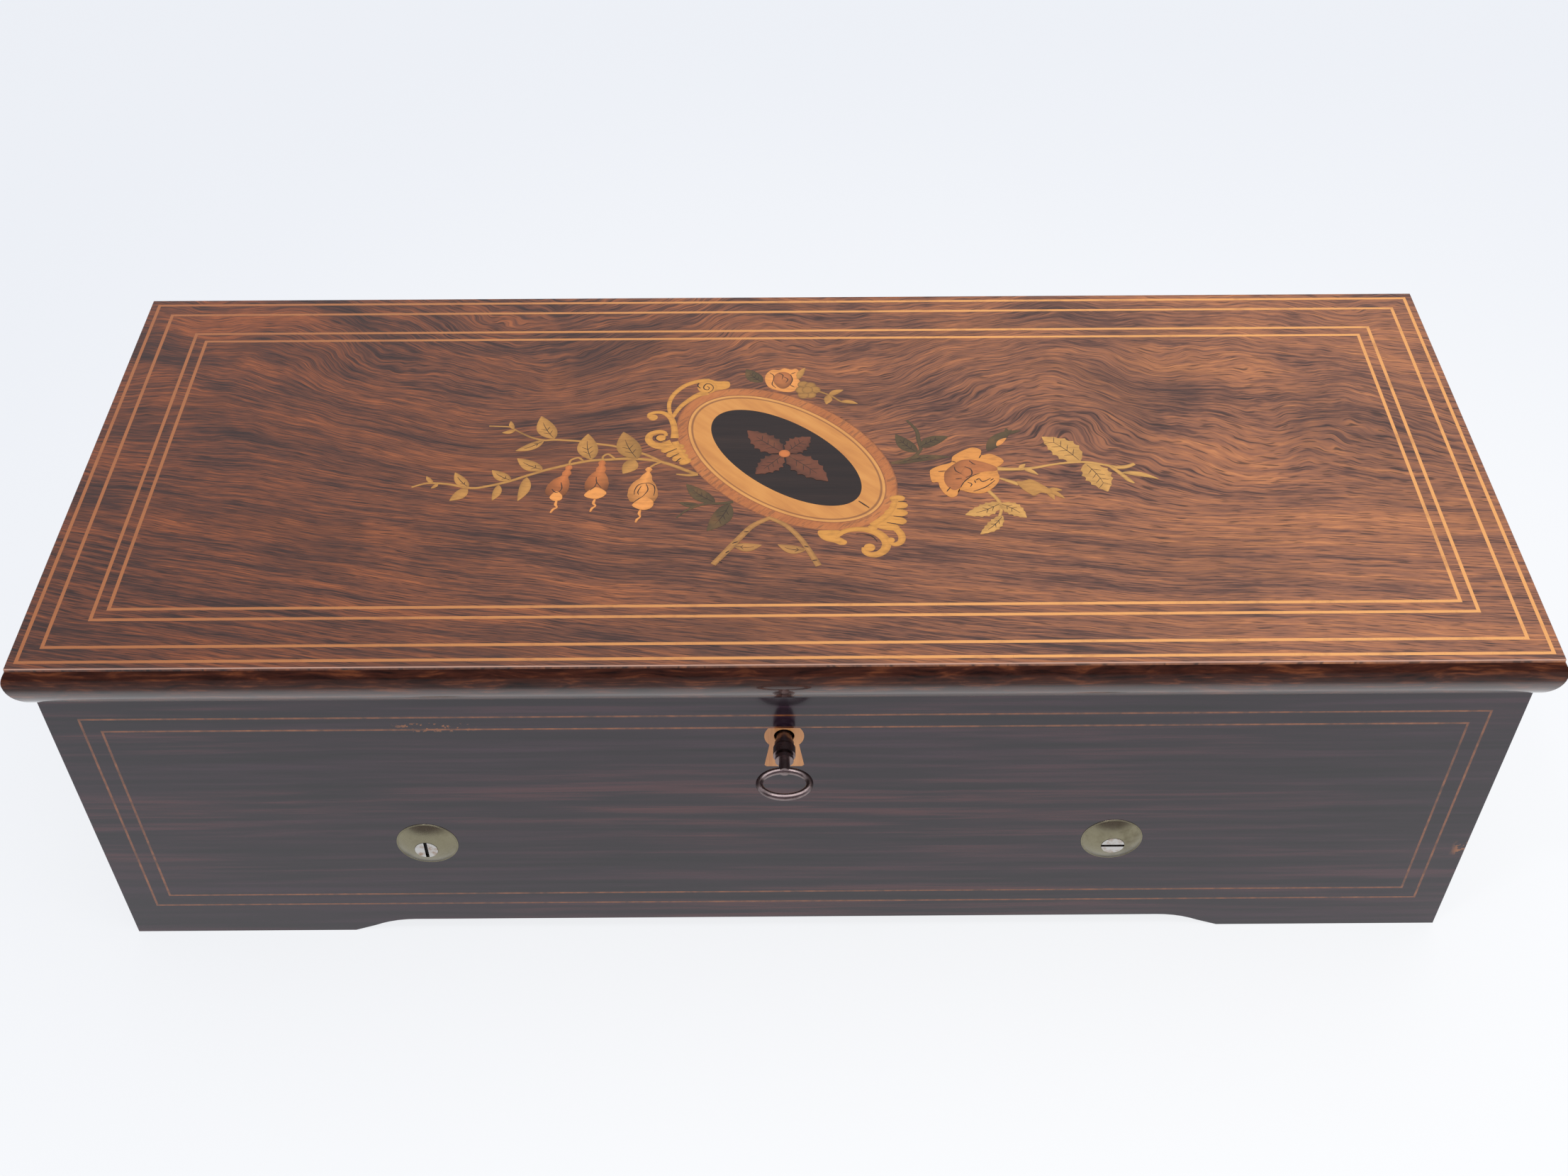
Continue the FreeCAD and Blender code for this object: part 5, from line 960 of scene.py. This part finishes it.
bell([(-63.2, 9.6, 1.2), (-63.5, 8.3, 2.8), (-63.5, 7, 1.9), (-63.6, 5.2, 3.6), (-63.9, 3.4, 3)],
     [(-63.9, 3.8, 2.8), (-64.3, 1, 6.6), (-64.6, -2.4, 8.4), (-64.7, -5.2, 8), (-64.8, -7.4, 5.6)],
     (1, 0.95, 0.72, 0.46, 0.4),
     [(-68.4, -7.8), (-64.9, -4.4), (-61.2, -6.8), (-61.7, -8.9), (-64.2, -10.4), (-67.7, -9.6)],
     [(-64.7, -10.6), (-65.1, -12.6), (-64.3, -14), (-65.4, -15.2), (-65.9, -16.9)],
     ORANGE,
     [[(-65, 1), (-64.7, -1.8), (-62.9, -4.8)], [(-64.7, -1.8), (-65.2, -4), (-66.8, -6)]])
bell([(-47, 5.9, 0.9), (-47, 4.6, 2.6), (-47.1, 3.3, 1.1), (-47.4, 1.5, 3.4), (-47.8, -0.6, 4.6)],
     [(-47.8, -0.4, 4.2), (-48.2, -2.8, 8), (-48.5, -5.6, 10), (-48.5, -9, 10.6),
      (-48.6, -12.2, 8)],
     (1, 1, 0.98, 0.85, 0.6),
     [(-51.6, -13), (-48.4, -9.2), (-44.8, -11.8), (-45.2, -15), (-48.1, -16.2), (-51.3, -14.6)],
     [(-48.9, -16.2), (-49.2, -18), (-48.8, -19.6), (-49.8, -20.9), (-50.2, -22.4)],
     LIGHT_ORANGE,
     [[(-46.9, -2.4), (-50, -3.2), (-51.3, -6), (-51.4, -8.4)],
      [(-46.9, -2.4), (-45, -3.6), (-44.4, -6), (-44.7, -9)],
      [(-47.6, -2.8), (-46.8, -6), (-48.5, -9.4)], [(-49.2, -4), (-50.2, -6.8), (-49.9, -8.4)],
      [(-51.6, -12.6), (-49.8, -10.6), (-48.4, -9.3)]])
left.set_in_lid("marquetry_left_spray")


# Right spray: a full rose with light outer petals and a brown heart, a stem of toothed leaves,
# a plump bud below it, and dark leaves behind that hardly show against the veneer.

right = Inlay()
right.ribbon([(37.6, 7.2), (45.1, 10.1), (48.7, 15.1)], (1.4, 1.6, 1.0), DARK_GREEN)
right.ribbon([(48.4, 14.7), (47.8, 20), (47.3, 25.1), (44.1, 30.8)], (1.2, 1.6, 1.4, 0.8),
             DARK_GREEN)
right.leaves([(46.9, 13, 39.8, 22.9, 5.4), (48, 15.8, 58.4, 21.5, 5), (38.7, 6.9, 58.7, 10.4, 3.2)],
             DARK_GREEN)
right.leaves([(80, 22.6, 79.4, 25.9, 1.5), (80, 22.6, 84.6, 24.6, 1.5),
              (71.6, 13.6, 81.4, 24.9, 4.8)], DARK_GREEN, veins=0)
right.leaf((75.2, 16.2), (79, 20.5), 1.9, LIGHT_ORANGE, veins=0, dark=0.9)
right.ribbon([(74.2, 4), (80.9, 3.7), (87.3, 4.4), (94.4, 6.2), (101.6, 7.2), (106.6, 7.1),
              (111.6, 5.8), (115.9, 4.4), (119.4, 4.7), (122.4, 6.2)],
             (2.0, 1.3, 1.0, 1.1, 1.1, 1.9, 1.4), LIGHT_OLIVE)
right.ribbon([(113.4, 5.2), (116.6, 1.5), (119.1, -2.1), (120.9, -3.9)], (1.2, 1.6, 1.8, 0.6),
             LIGHT_OLIVE)
right.leaves([(117.4, 1.6, 129.6, -1.8, 2.2), (82, 3.6, 84.3, 6.4, 1.7),
              (83.4, 3.9, 88.2, 0.7, 1.7)], LIGHT_OLIVE, veins=0)
right.leaf((103.8, 7.6), (91.7, 21), 9.8, LIGHT_OLIVE, teeth=0.13, veins=4, bend=-0.05, dark=0.86)
right.leaf((105.2, 6.6), (111.2, -8.2), 9.4, LIGHT_OLIVE, teeth=0.13, veins=4, dark=0.86)
right.ribbon([(74.6, -1), (77.6, -2.4), (80.9, -4.2)], (0.7, 1.5, 1.8), LIGHT_OLIVE)
for x1, y1 in ((95.6, -7.4), (92.4, -12.2), (96, -11.6)):
    right.leaf((90.2, -7.4), (x1, y1), 2.0, OLIVE, veins=0)
right.petal([(80.3, -3), (82.4, -2.6), (85.2, -1.7), (87.6, -3.2), (90.2, -5.6), (92.2, -7.6),
             (91.2, -9.4), (88.2, -8.6), (85.8, -10.2), (84.2, -9), (82, -6.6)], OLIVE, 0.8)
right.ribbon([(70.1, -7.2), (72.6, -11.3), (73.7, -14.2), (73.7, -17.8), (72.4, -21.6)],
             (1.4, 1.4, 1.2, 1.0), LIGHT_OLIVE)
right.leaves([(74, -13.8, 61.4, -19.6, 5.8), (73.6, -14, 82, -21.2, 5.8),
              (74, -20.2, 65.7, -29.2, 4.4)], LIGHT_OLIVE, teeth=0.14, veins=2, dark=0.8)
right.petal([(58.7, 8.3), (59.4, 10.8), (63, 13.7), (66.6, 15.4), (69.4, 14), (69.3, 11.2),
             (72.3, 11.9), (75.5, 10.1), (76.9, 7.9), (75.5, 5.8), (74.1, 4.4), (74.4, 1.5),
             (74.4, -2.1), (72.3, -5.6), (68.7, -8.5), (64.4, -8.5), (60.3, -7.1), (59.4, -9.6),
             (57.3, -10.8), (55.1, -8.8), (53.7, -5.6), (53.2, -2.9), (51.2, -2.8), (50.7, 1.5),
             (51.2, 3.7), (54.4, 5.8), (58.2, 7.2)], PETAL, 0.88, (64, 2))
right.petal([(55.5, -0.6), (55.9, 2.2), (58, 5.1), (61.6, 8.3), (65.1, 9), (68.7, 7.9), (73, 5.8),
             (74.4, 4), (73.7, 2.9), (70.9, 2.2), (68, 1.5), (65.1, 0.1), (62.3, -2.8),
             (60.9, -5.6), (58.7, -7.1), (56.6, -5.6), (55.5, -2.8)], ROSE_BROWN, 0.84, (62.5, 3),
            (-1, 0.4))
right.petal([(61.4, 1.4), (63, 4.8), (65, 3.9), (65.4, 1), (63.4, -0.4)], ROSE_BROWN, 0.72)
right.petal([(61.9, -2.8), (65.1, 0.1), (68, 1.9), (71.6, 2.6), (74.4, 1.5), (74.4, -2.1),
             (72.3, -5.6), (68.7, -8.1), (64.4, -8.1), (60.5, -6.7), (61.6, -4.9)], PETAL, 0.86)
right.scores([[(64.8, 8.3), (65.9, 6.9), (66.9, 6.2)], [(59.4, 5.1), (59.8, 2.9), (61.6, 1.5)],
              [(63, 5.1), (65.1, 3.7), (65.1, 0.8), (63, -0.6)], [(59.4, -1.3), (61.6, -1)],
              [(65.9, -2.1), (66.2, -3.5)], [(67.6, -1), (68.7, -2.8), (71.6, -1)],
              [(63.4, -3), (64.8, -4), (64.2, -5.4)], [(65.1, -7.8), (69.4, -5.6), (73, -2.1)],
              [(53.7, 2.6), (56.2, 2.9)], [(55.9, -7.8), (57.3, -5.6)],
              [(71.4, -2.2), (72.6, -1.2)], [(66.4, -2), (67.6, -1)],
              [(60.9, -5.6), (62.3, -2.8), (65.1, 0.1), (68, 1.6)], [(69.3, 11.4), (68.4, 9.6)],
              [(58.6, 8), (60.2, 7.4)]], 0.45)
right.set_in_lid("marquetry_right_spray")


# Middle: a small rose and its leaves above the oval, dark leaves and two crossed twigs below,
# and a brown four-petalled flower in the ebony field.

middle = Inlay()
middle.leaf((-7.6, 53), (-13.6, 60.8), 5.4, DARK_GREEN)
middle.petal([(-6.6, 54.4), (-6.2, 57.6), (-4.2, 60.2), (-1.4, 60.2), (0.6, 61.2), (3, 60.4),
              (5, 60.8), (6.2, 58.4), (5.4, 55.6), (6.3, 53), (5.6, 49.6), (3.4, 47.4), (0.6, 47.2),
              (-2.2, 48.2), (-4.6, 49.4), (-6, 51.6)], LIGHT_ORANGE, 0.86)
middle.petal([(-3.4, 53.2), (-3.2, 56.6), (-1.6, 58.6), (1, 58.8), (2.8, 57.4), (3.4, 54.6),
              (2.6, 51.2), (0.6, 49.2), (-1.6, 49.8)], ROSE_BROWN, 0.7, None, (0.4, -1))
middle.scores([[(-4.9, 58.6), (-3.4, 56.8), (-3.6, 54)], [(-3.6, 54), (-4, 51.6), (-2.6, 49.6)],
               [(-1.6, 58.4), (0, 57), (-0.4, 54.6)], [(2.8, 57.4), (3.5, 54.4), (2.6, 51.2)],
               [(0.4, 56), (1.8, 54.6), (1, 52.6)], [(2.6, 51.2), (4.2, 50)],
               [(3, 57.8), (4.6, 58.6)]], 0.4)
middle.leaf((5.6, 54.6), (8.2, 61.4), 2.4, OLIVE, veins=0)
for x, y in (
        (7.4, 51.4), (10, 50.6), (11.6, 48.4), (10, 45.6), (7.4, 45.4), (6.6, 48.2), (8.9, 48.3)):
    middle.round(x, y, 2.1, GREEN, 0.55)
middle.ribbon([(11.5, 48), (13.5, 47.2), (17.5, 44.7), (21.5, 41.2), (26, 40.5)],
              (0.9, 0.8, 0.8, 0.6), GREEN)
middle.leaves([(16.6, 45, 22, 48.2, 2.5), (16.4, 45.2, 15.6, 40, 2.9), (21, 41.6, 27, 40.2, 1.9)],
              OLIVE, veins=0)
middle.ribbon([(-17.4, -12.4), (-22, -13.1), (-27, -13.3), (-33, -16.3), (-36.5, -20.3)],
              (1.4, 1.2, 1.0, 0.5), DARK_GREEN)
middle.leaves([(-23.6, -12.6, -33.7, -3, 5.4), (-18.5, -13.3, -26, -26.8, 6.6),
               (-29, -14, -36, -12.4, 2.4)], DARK_GREEN)
for x0, y0, x1, y1, bow in ((-16.8, -34.2, -7.6, -33.9, -0.1), (7, -36.4, -2.2, -33.7, 0.1)):
    middle.leaf((x0, y0), (x1, y1), 3.9, TWIG, bow, veins=1)
for twig, widths in (
        ([(-4.6, -20.4), (-7, -21.8), (-11, -24.8), (-15, -30.3), (-19, -36.3), (-23.6, -43)],
         (1.6, 1.9, 2.2, 2.3, 2)),
        ([(-5.4, -20.4), (-2.6, -22), (1, -24.8), (5, -30.3), (8, -36.3), (11.2, -43.9)],
         (1.4, 1.7, 1.9, 2, 2.2))):
    middle.ribbon(twig, widths, TWIG)
middle.scores([[(-12, -27.2), (-13.6, -27.4)], [(-15.6, -32.2), (-17.4, -33)],
               [(-18.4, -36.6), (-19.6, -37.6)], [(-21.6, -41.6), (-20.6, -42.2)],
               [(6.6, -34.4), (8, -35)], [(9.2, -41.4), (10.8, -41.2)]], 0.5)
FLOWER = Vector((0.3, 12.7))
for tip, wide in (((-12.8, 25.4), 8.6), ((9.6, 21.6), 7.8), ((-9.8, 2), 7.8), ((15.2, -2), 9)):
    out = (Vector(tip) - FLOWER).normalized()
    middle.leaf(FLOWER + out, tip, wide, FLOWER_BROWN, 0.02, 0.16, 3, 0.5)
middle.round(FLOWER.x, FLOWER.y, 2, ORANGE, 0.7)
middle.score([(25.5, -12.3), (27.2, -14), (29, -15.8)], 0.5)
middle.set_in_lid("marquetry_middle")


# Scrolls: pale satinwood handles, curls and gadroons at the two ends of the oval.
# They are the brightest pieces, with spiral lines cut into the curls.

scroll = Inlay()
for handle, widths in (
        ([(-40.3, 33.6), (-41.2, 37.7), (-41.2, 41.7), (-39.8, 46.2), (-36.5, 50.7), (-33, 53),
          (-30, 53.9), (-27, 54)], (1.3, 1.5, 1.7, 1.9, 2.1, 2.6)),
        ([(-40, 32.6), (-37.4, 38.6), (-33.9, 43.1), (-30.6, 46), (-27.4, 47.2)],
         (1.4, 1.7, 2, 2.4, 2.8)),
        ([(-41.6, 22.8), (-42.4, 24.6), (-44.6, 25), (-47.2, 23.6), (-47.8, 20.9), (-46.2, 18.3),
          (-43, 17.2), (-39.4, 18.6)], (1.2, 1.8, 2.4, 2.6, 2.8, 3.4, 4.6)),
        ([(-48.4, 33), (-48.2, 35), (-45.6, 36), (-42.8, 35.4), (-40.6, 33), (-39.4, 29.7),
          (-38.8, 25.7), (-38.6, 21.5)], (1.0, 1.4, 1.6, 2.0, 2.3, 2.3, 3.0)),
        ([(17.4, -29.6), (20.4, -27.3), (24.4, -26.4), (28.6, -26.9), (32, -29), (34, -32.6),
          (33.4, -36.2), (31.2, -38.4), (28.6, -38.8), (26.6, -37.4), (26.4, -35.2)],
         (2.2, 2.0, 2.4, 3.2, 3.2, 3.0, 2.6, 2.0, 1.4)),
        ([(29, -26.2), (32, -24), (35.2, -24.4), (38, -26.9), (39.3, -29.9), (38.8, -32.8),
          (36.8, -33.9), (35, -33)], (3.0, 2.6, 2.4, 2.6, 2.4, 2.0, 1.2))):
    scroll.ribbon(handle, widths, SCROLL, 0.86)
scroll.petal([(-28, 54.6), (-24, 53.7), (-19.9, 53.4), (-19.9, 49.8), (-24.6, 48.2), (-27, 47.6)],
             SCROLL, 0.88)
scroll.petal([(11.3, -27.2), (13.4, -26.8), (18.6, -27), (17.6, -29.6), (19.6, -31), (20.6, -33),
              (18.8, -34), (16.6, -32.9), (13.4, -31.7), (11.6, -29.6)], SCROLL, 0.86)
for x, y, radius in (
        (-27.7, 50.2, 3.6), (-46.8, 33.1, 1.7), (-43.4, 21.4, 1.9), (19.6, -32.7, 1.3),
        (28.3, -35.3, 1.9), (35.6, -31.8, 1.3)):
    scroll.round(x, y, radius, SCROLL)
for root, tip, wide in (
        ((-35, 17.4), (-43.2, 14.4), 4), ((-34.4, 14.8), (-41.2, 11.8), 3.6),
        ((-33.6, 12.4), (-39, 9.6), 3.4), ((-32.6, 10), (-36.4, 7.6), 3),
        ((36, -11.4), (41.4, -10.9), 3.4), ((36, -14.6), (42.2, -14.5), 3.8),
        ((34, -18), (42, -18.5), 4.2), ((32, -21.4), (41.4, -22.8), 4.6),
        ((30, -23.8), (38.8, -26), 4)):
    scroll.lobe(root, tip, wide, SCROLL)
scroll.ribbon([(-38.4, 19.6), (-36.6, 14.6), (-33.6, 9.4)], (2.4, 2.2, 1.4), SCROLL, 0.9)
scroll.ribbon([(38.2, -11.4), (36.8, -16), (34, -20.4), (29.4, -24.6)], (1.6, 2.2, 2.4, 2.2),
              SCROLL, 0.9)
scroll.scores([[(-27.8, 50.7), (-27, 49.9), (-27.5, 48.7), (-28.8, 49.2), (-29, 50.7), (-28, 52.2),
                (-26.5, 51.9), (-25.5, 50.2), (-26, 48.2), (-27.5, 46.9)],
               [(-30.2, 49.6), (-31.2, 51), (-31, 52.8)],
               [(-42.6, 23.4), (-44.8, 23.2), (-45.4, 21.2), (-43.8, 19.8), (-41.8, 20.6),
                (-41.8, 22)],
               [(-37.6, 15.8), (-42, 13.1)], [(-36.8, 13.2), (-40, 10.7)],
               [(-36, 10.8), (-37.8, 8.6)], [(39, -12.6), (41.9, -12.7)],
               [(38.4, -16.4), (42, -16.5)], [(37, -20), (41.8, -20.7)],
               [(34.6, -23.2), (40, -24.5)],
               [(24, -28.6), (27.4, -28.8), (29.8, -30.4), (31, -32.6)]], 0.45)
scroll.set_in_lid("marquetry_scrolls")


# Tune card: a printed card with ruled borders, tacked inside the lid.
# The paper has browned at the edges and is speckled with age.

CARD_HALF_WIDE, CARD_HALF_TALL, CARD_MIDDLE_Y = 0.075, 0.05, 0.0106
INK_EDGE = 0.0001
card = begin("aged_card")
here = spot()
across, updown = (Tone.node("ShaderNodeMath", settings={"operation": "ABSOLUTE"}, Value=way)
                  for way in (axis_of(here, "X"), axis_of(here, "Y") - CARD_MIDDLE_Y))
fibre = cloud(here, 700.0, 3.0)
foxing = cloud(here, 60.0, 5.0, 0.65)
colour = dyed(foxing, [(0.3, 206, 184, 140), (0.55, 224, 206, 166), (0.8, 196, 166, 118)])


def past_border(inset):
    """How far a place lies outside a border drawn this far inside the card's edge."""
    return (across - (CARD_HALF_WIDE - inset)).top(updown - (CARD_HALF_TALL - inset))


rules = [past_border(inset).within(-INK_EDGE, 0, wide - INK_EDGE, wide)
         for inset, wide in ((0.004, 0.0008), (0.006, 0.0003), (0.011, 0.0003))]
colour = mixed(rules[0].top(*rules[1:]) * 0.75, colour, stain(120, 56, 44))
colour = mixed(past_border(0).over(-0.008, 0) * 0.5, colour, stain(150, 110, 66))
close({"Base_Color": colour, "Roughness": fibre * 0.1 + 0.75}, fibre, 0.00004, 0.4)
dress(card, "tune_card")


# Card tacks: six small brass pins with round heads hold the card to the lid.
# They are driven through its margin, three along the top and three along the bottom.

TACK_INSET, TACK_RADIUS, TACK_DOME = 0.0028, 0.0012, 0.5
tack_x, tack_y = CARD_HALF_WIDE - TACK_INSET, CARD_HALF_TALL - TACK_INSET
card_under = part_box("tune_card")[0].z
places = [(x, CARD_MIDDLE_Y + y, card_under)
          for x in (-tack_x, 0, tack_x) for y in (-tack_y, tack_y)]
tacks = baked("card_tacks", points_mesh("card_tacks", places, [(0, 0, -1)] * len(places)),
              *set_on_points("round_heads", {"Radius": TACK_RADIUS, "Dome": TACK_DOME},
                             round_head, hinge_brass))
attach(tacks, "lid")


# Table: a plain pale table with painted light, a little brighter near the box than far from it.
# It takes the box's shadow, and the room beyond it has the same pale colour.

def seen_ray():
    """1 where the eye sees a surface, also in metal or glass; 0 where it only gives light."""
    seen = [Tone.node("ShaderNodeLightPath", f"Is {kind} Ray")
            for kind in ("Camera", "Glossy", "Transmission")]
    return seen[0].top(*seen[1:])


def flat_sheet(name, half_wide, near, far):
    """A flat sheet between a near and a far edge, each given by its y and z."""
    mesh = bpy.data.meshes.new(name)
    mesh.from_pydata([(-half_wide, *near), (half_wide, *near),
                      (half_wide, *far), (-half_wide, *far)], [], [(0, 1, 2, 3)])
    return stand(name, mesh)


HALF_TABLE = 40.0
table = flat_sheet("table", HALF_TABLE, (-HALF_TABLE, 0), (HALF_TABLE, 0))
table_top = begin("pale_table")
here = spot()
# Painted light: the table's colour is brighter near the box and fades further away, with a soft
# mottle over it.
falloff_and_mottle = away(here, 0.15, -0.3) + cloud(here, 1.3, 2.0) * 0.3
paint = mixed(falloff_and_mottle.over(0.25, 1.1), stain(251, 252, 254), stain(236, 239, 245))
flat_light = Tone.node("ShaderNodeEmission", Color=paint, Strength=1.0)
lit = Tone.node("ShaderNodeBsdfDiffuse", Color=paint)
shown = Tone.node("ShaderNodeMixShader", Fac=seen_ray() * 0.86, Shader=lit,
                  Shader_001=flat_light)
Tone.node("ShaderNodeOutputMaterial", Surface=shown)
table.data.materials.append(table_top)

world = bpy.data.worlds.new("room")
bpy.context.scene.world = world
world.use_nodes = True
world.node_tree.nodes.clear()
Tone.tree = world.node_tree
room = Tone.node("ShaderNodeBackground", Color=(0.97, 0.98, 1.0, 1.0), Strength=0.7)
backdrop = Tone.node("ShaderNodeBackground", Color=stain(236, 239, 245), Strength=1.0)
shown = Tone.node("ShaderNodeMixShader", Fac=seen_ray(), Shader=room, Shader_001=backdrop)
Tone.node("ShaderNodeOutputWorld", Surface=shown)


# Light: one wide soft lamp overhead and a small window at the left.
# A grey felt flag in front, which only mirrors show, keeps the polished front dark.

def soft_lamp(name, place, aim, wide, tall, watts):
    data = bpy.data.lights.new(name, "AREA")
    data.shape, data.size, data.size_y, data.energy = "RECTANGLE", wide, tall, watts
    lamp = stand(name, data)
    lamp.location = place
    lamp.rotation_euler = (Vector(aim) - Vector(place)).to_track_quat("-Z", "Y").to_euler()


soft_lamp("overhead", place=(0.5, 0.1, 1.9), aim=(0.1, 0, 0.1), wide=2.2, tall=1.6, watts=20)
soft_lamp("window", place=(-0.35, -0.45, 1.5), aim=(0, -0.1, 0.1), wide=0.14, tall=0.1, watts=2.5)

flag = flat_sheet("dark_flag", half_wide=1.6, near=(-0.62, 0.02), far=(-0.9, 1.5))
flag.visible_camera = flag.visible_diffuse = flag.visible_shadow = False
felt = begin("dark_felt")
nap = cloud(spot(), 40.0, 3.0)
close({"Base_Color": mixed(nap, stain(120, 110, 117), stain(142, 131, 139)), "Roughness": 0.9})
flag.data.materials.append(felt)


# Camera: it stands in front of the box and looks down on it, as in the photograph.
# Its place, angles and focal length come from the box's corners.

FOCAL_PIXELS, IMAGE_WIDE, SENSOR = 2533.45, 2212, 36.0
EYE = (-0.001506, -0.46771, 0.55953)
PITCH, YAW, ROLL = -0.783554, 0.002986, -0.004161
forward = Vector((math.sin(YAW) * math.cos(PITCH), math.cos(YAW) * math.cos(PITCH),
                  math.sin(PITCH)))
level = Vector((math.cos(YAW), -math.sin(YAW), 0))
upward = level.cross(forward)
rightward = level * math.cos(ROLL) + upward * math.sin(ROLL)
upward = upward * math.cos(ROLL) - level * math.sin(ROLL)
lens = bpy.data.cameras.new("photograph")
lens.sensor_width, lens.lens = SENSOR, FOCAL_PIXELS / IMAGE_WIDE * SENSOR
lens.clip_start, lens.clip_end = 0.01, 30
camera = stand("photograph", lens)
turned = Matrix((rightward, upward, -forward)).transposed().to_4x4()
camera.matrix_world = Matrix.Translation(EYE) @ turned
bpy.context.scene.camera = camera
bpy.context.scene.view_settings.view_transform = "Standard"
